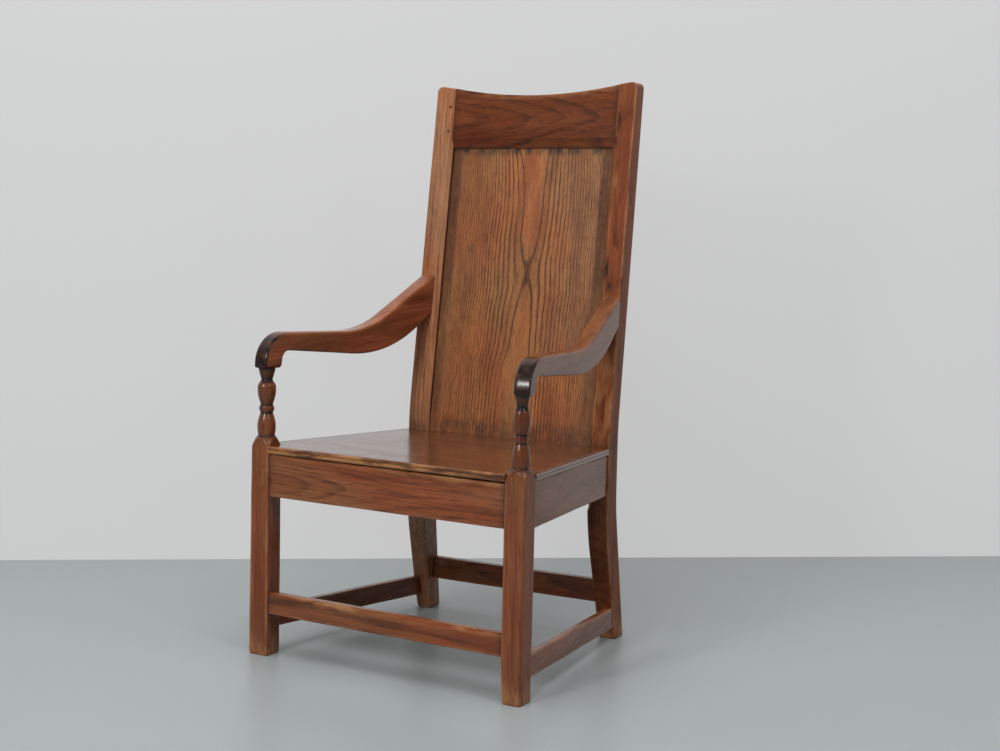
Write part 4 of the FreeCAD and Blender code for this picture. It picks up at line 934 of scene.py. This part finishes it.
seat = seat_board()
seat.data.materials.append(wood(
    "seat_wood", (0.0, 0.12, 0.18), (0, 90, -2.5), spacing=0.009, lines=0.4, gloss=(0.3, 0.65, 0.2),
    Polish=0.15, Pale=(0.128, 0.045, 0.015, 1), Middle=(0.081, 0.026, 0.009, 1),
    Worn_Colour=(0.36, 0.155, 0.052, 1)))
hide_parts("seat_board")


# Rails under the seat and stretchers near the floor: sawn boards tenoned into the posts. The front rail
# has shrunk from the seat, which leaves a dark gap, and feet have worn the front stretcher.
ALONG = np.linspace(0, 1, 90)[:, None]


def drawn_out(name, first, last, axis, radii, seeds, top_rub=0.0):
    """Carries an outline of four corners straight from one end to the other, and rounds its arrises.

    Axis 0 runs from side to side and 1 from front to back. The second corner is the top one in front or
    outside: from it the rubbed wood fades downwards as the exponential of the distance.
    """
    rows = len(ALONG)
    share = ALONG[..., None]
    corners = np.array(first, float) * (1 - share) + np.array(last, float) * share
    across = 1 - axis
    radii = np.concatenate([np.broadcast_to(radius, (rows, 1)) for radius in radii], 1)
    rings, near = rounded_rings(corners[..., [across, 2]], radii, 6, 8)
    far = np.broadcast_to(corners[:, :1, axis], rings.shape[:2])
    ordered = [rings[..., 0], far] if axis else [far, rings[..., 0]]
    lift = wobble(far, *seeds, size=0.0005)
    ends = np.minimum(np.arange(rows), np.arange(rows)[::-1])[:, None]
    grime_and_shade = np.broadcast_to(0.75 * np.exp(-ends / 0.9), near.shape)
    big = np.clip(radii.max(1, keepdims=True) / 0.006, 0.6, 1)
    wear_and_sheen = 0.7 * near * big + top_rub * np.exp((rings[..., 1] - corners[:, 1:2, 2]) / 0.008)
    return skin(name, np.stack([*ordered, rings[..., 1] + lift], -1), wear_and_sheen, grime_and_shade)


def across_box(x, low, high_front, high_back):
    """The outline of a front rail or stretcher at one end."""
    front, back = 0.0032, 0.0268
    return [(x, front, low), (x, front, high_front), (x, back, high_back), (x, back, low)]


def along_box(outer, inner, depth, low, high):
    """The outline of a side rail or stretcher at one end."""
    return [(outer, depth, low), (outer, depth, high), (inner, depth, high), (inner, depth, low)]


def under_seat(depth):
    """Height of the seat's underside at a depth."""
    return SEAT_UNDER - depth * SEAT_PITCH - SHAVED


INNER = 0.2735
OUTER = 0.313
LEG_BACK = 0.0425
FRONT_RAIL_LOW = 0.3283
FOOT_RAIL_LOW, FOOT_RAIL_HIGH = 0.0875, 0.1305
SIDE_RAIL_THICK, SIDE_FOOT_THICK = 0.024, 0.016
REAR_FOOT_TALL, REAR_FOOT_THICK = 0.049, 0.019

high_front, high_back = under_seat(0.003), under_seat(0.027)
front_rail = drawn_out(
    "front_rail",
    across_box(-INNER, FRONT_RAIL_LOW, high_front - 0.0006, high_back),
    across_box(INNER, FRONT_RAIL_LOW, high_front - 0.0036, high_back),
    0, [0.0018, 0.0028, 0.001, 0.0015], (1.3, 2.9, 4.1), 0.9 * np.clip(1.7 * ALONG - 0.6, 0, 1))
front_rail.data.materials.append(wood(
    "front_rail_wood", (0.1, -0.24, 0.36), (0, 90, 1.5), spacing=0.005, lines=0.55,
    Pale=(0.27, 0.095, 0.038, 1), Middle=(0.175, 0.048, 0.019, 1)))
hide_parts("front_seat_rail")

for name, side in (("left", 1), ("right", -1)):
    ends = []
    outer_back = HALF_BACK - SEAT_UNDER * STILE_LEAN - 0.003
    for depth, outer, low in ((LEG_BACK, OUTER, 0.3277), (0.4755, outer_back, 0.3197)):
        inner = outer - SIDE_RAIL_THICK
        ends.append(along_box(side * outer, side * inner, depth, low, under_seat(depth)))
    piece = drawn_out(f"side_rail_{name}", *ends, 1, [0.0018, 0.0012, 0.001, 0.0018], (1.9, 3.1, 4.6))
    piece.data.materials.append(wood(
        f"side_rail_wood_{name}", (0.3 * side, 0.1, 0.16), (-90, 0, 8), spacing=0.005, lines=0.3,
        gloss=(0.22,), Pale=(0.18, 0.052, 0.018, 1), Middle=(0.12, 0.03, 0.010, 1),
        Dark=(0.07, 0.022, 0.011, 1)))
    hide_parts(f"side_seat_rail_{name}")

finish_solid("back_seat_rail", wood("back_rail_wood", (0.1, 0.4, 0.5), (0, 90, 2), masks=False))

rub_radius = 0.0066 + 0.0042 * np.exp(-((ALONG - 0.6) / 0.22) ** 2) + 0.0006 * np.sin(ALONG * 13)
rubbed = 1.5 * np.exp(-((ALONG - 0.27) / 0.14) ** 2) + 0.8 * np.exp(-((ALONG - 0.85) / 0.08) ** 2)
foot_rail = drawn_out(
    "front_foot_rail",
    across_box(-INNER, FOOT_RAIL_LOW, FOOT_RAIL_HIGH, FOOT_RAIL_HIGH),
    across_box(INNER, FOOT_RAIL_LOW, FOOT_RAIL_HIGH, FOOT_RAIL_HIGH),
    0, [0.002, rub_radius, 0.003, 0.002], (2.2, 3.4, 5.0), rubbed)
foot_rail.data.materials.append(wood(
    "foot_rail_wood", (0.2, -0.21, 0.13), (0, 90, -1.5), spacing=0.009, lines=0.7))
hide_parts("front_stretcher")

for name, side, tall, front_low, back_low in (
        ("left", 1, 0.045, 0.0455, 0.026), ("right", -1, 0.0425, 0.048, 0.0325)):
    ends = []
    outer_back = HALF_BACK - tall * STILE_LEAN - 0.003
    for depth, low in ((LEG_BACK, front_low), (BACK + HEEL * RAKE, back_low)):
        share = (depth - 0.043) / (0.5258 - 0.043)
        outer = OUTER + share * (outer_back - OUTER)
        inner = outer - SIDE_FOOT_THICK
        ends.append(along_box(side * outer, side * inner, depth, low, low + tall))
    piece = drawn_out(f"side_foot_rail_{name}", *ends, 1, [0.002, 0.0028, 0.0022, 0.002], (1.1, 2.7, 4.4))
    piece.data.materials.append(wood(
        f"side_foot_wood_{name}", (0.3 * side, 0.1, -0.1), (-88, 0, 7 * side)))
    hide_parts(f"side_stretcher_{name}")

ends = []
back = float(stile_back(np.array(0.125)))
front = back - REAR_FOOT_THICK
for side, low in ((-1, 0.072), (1, 0.076)):
    high = low + REAR_FOOT_TALL
    x_low, x_high = (side * float(stile_inner(z) + 0.0005) for z in (low, high))
    ends.append([(x_low, front, low), (x_high, front, high), (x_high, back, high), (x_low, back, low)])
rear_foot = drawn_out("rear_foot_rail", *ends, 0, [0.002, 0.0028, 0.0025, 0.002], (1.5, 2.5, 3.9))
rear_foot.data.materials.append(wood("rear_foot_wood", (0.1, 0.0, 0.1), (0, 90, 2)))
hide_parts("back_stretcher")


# Pegs: riven from straight wood to eight sides, driven through each joint to draw it tight, and cut off
# flush. They are now as dark as the frame.
for node in ("crest_pegs", "seat_rail_pegs", "stretcher_pegs", "arm_pegs"):
    finish_solid(node, wood(f"{node}_wood", (0.1, -0.2, 0.1), (90, 0, 0), lines=0.2, masks=False))


# Nails: cut from iron rod with a square shank, hammered into the seat's front edge and the hands, and
# now black with rust and polish.
def iron(name):
    """Dark iron with small spots of brown rust."""
    material, tree, shader = new_material(name)
    shader.inputs["Metallic"].default_value = 0.6
    link, _, noise, ramp, mix = wire(tree)
    spots = noise(tree.nodes.new("ShaderNodeTexCoord").outputs["Object"], (900, 900, 900), 3)
    rust = mix(ramp(spots, 0.4, 0.65), (0.03, 0.027, 0.026, 1), (0.09, 0.04, 0.02, 1))
    link(rust, shader.inputs["Base Color"])
    link(ramp(spots, 0.3, 0.7, 0.45, 0.7), shader.inputs["Roughness"])
    return material


for node in ("seat_nails", "arm_nails"):
    finish_solid(node, iron(f"{node}_iron"))
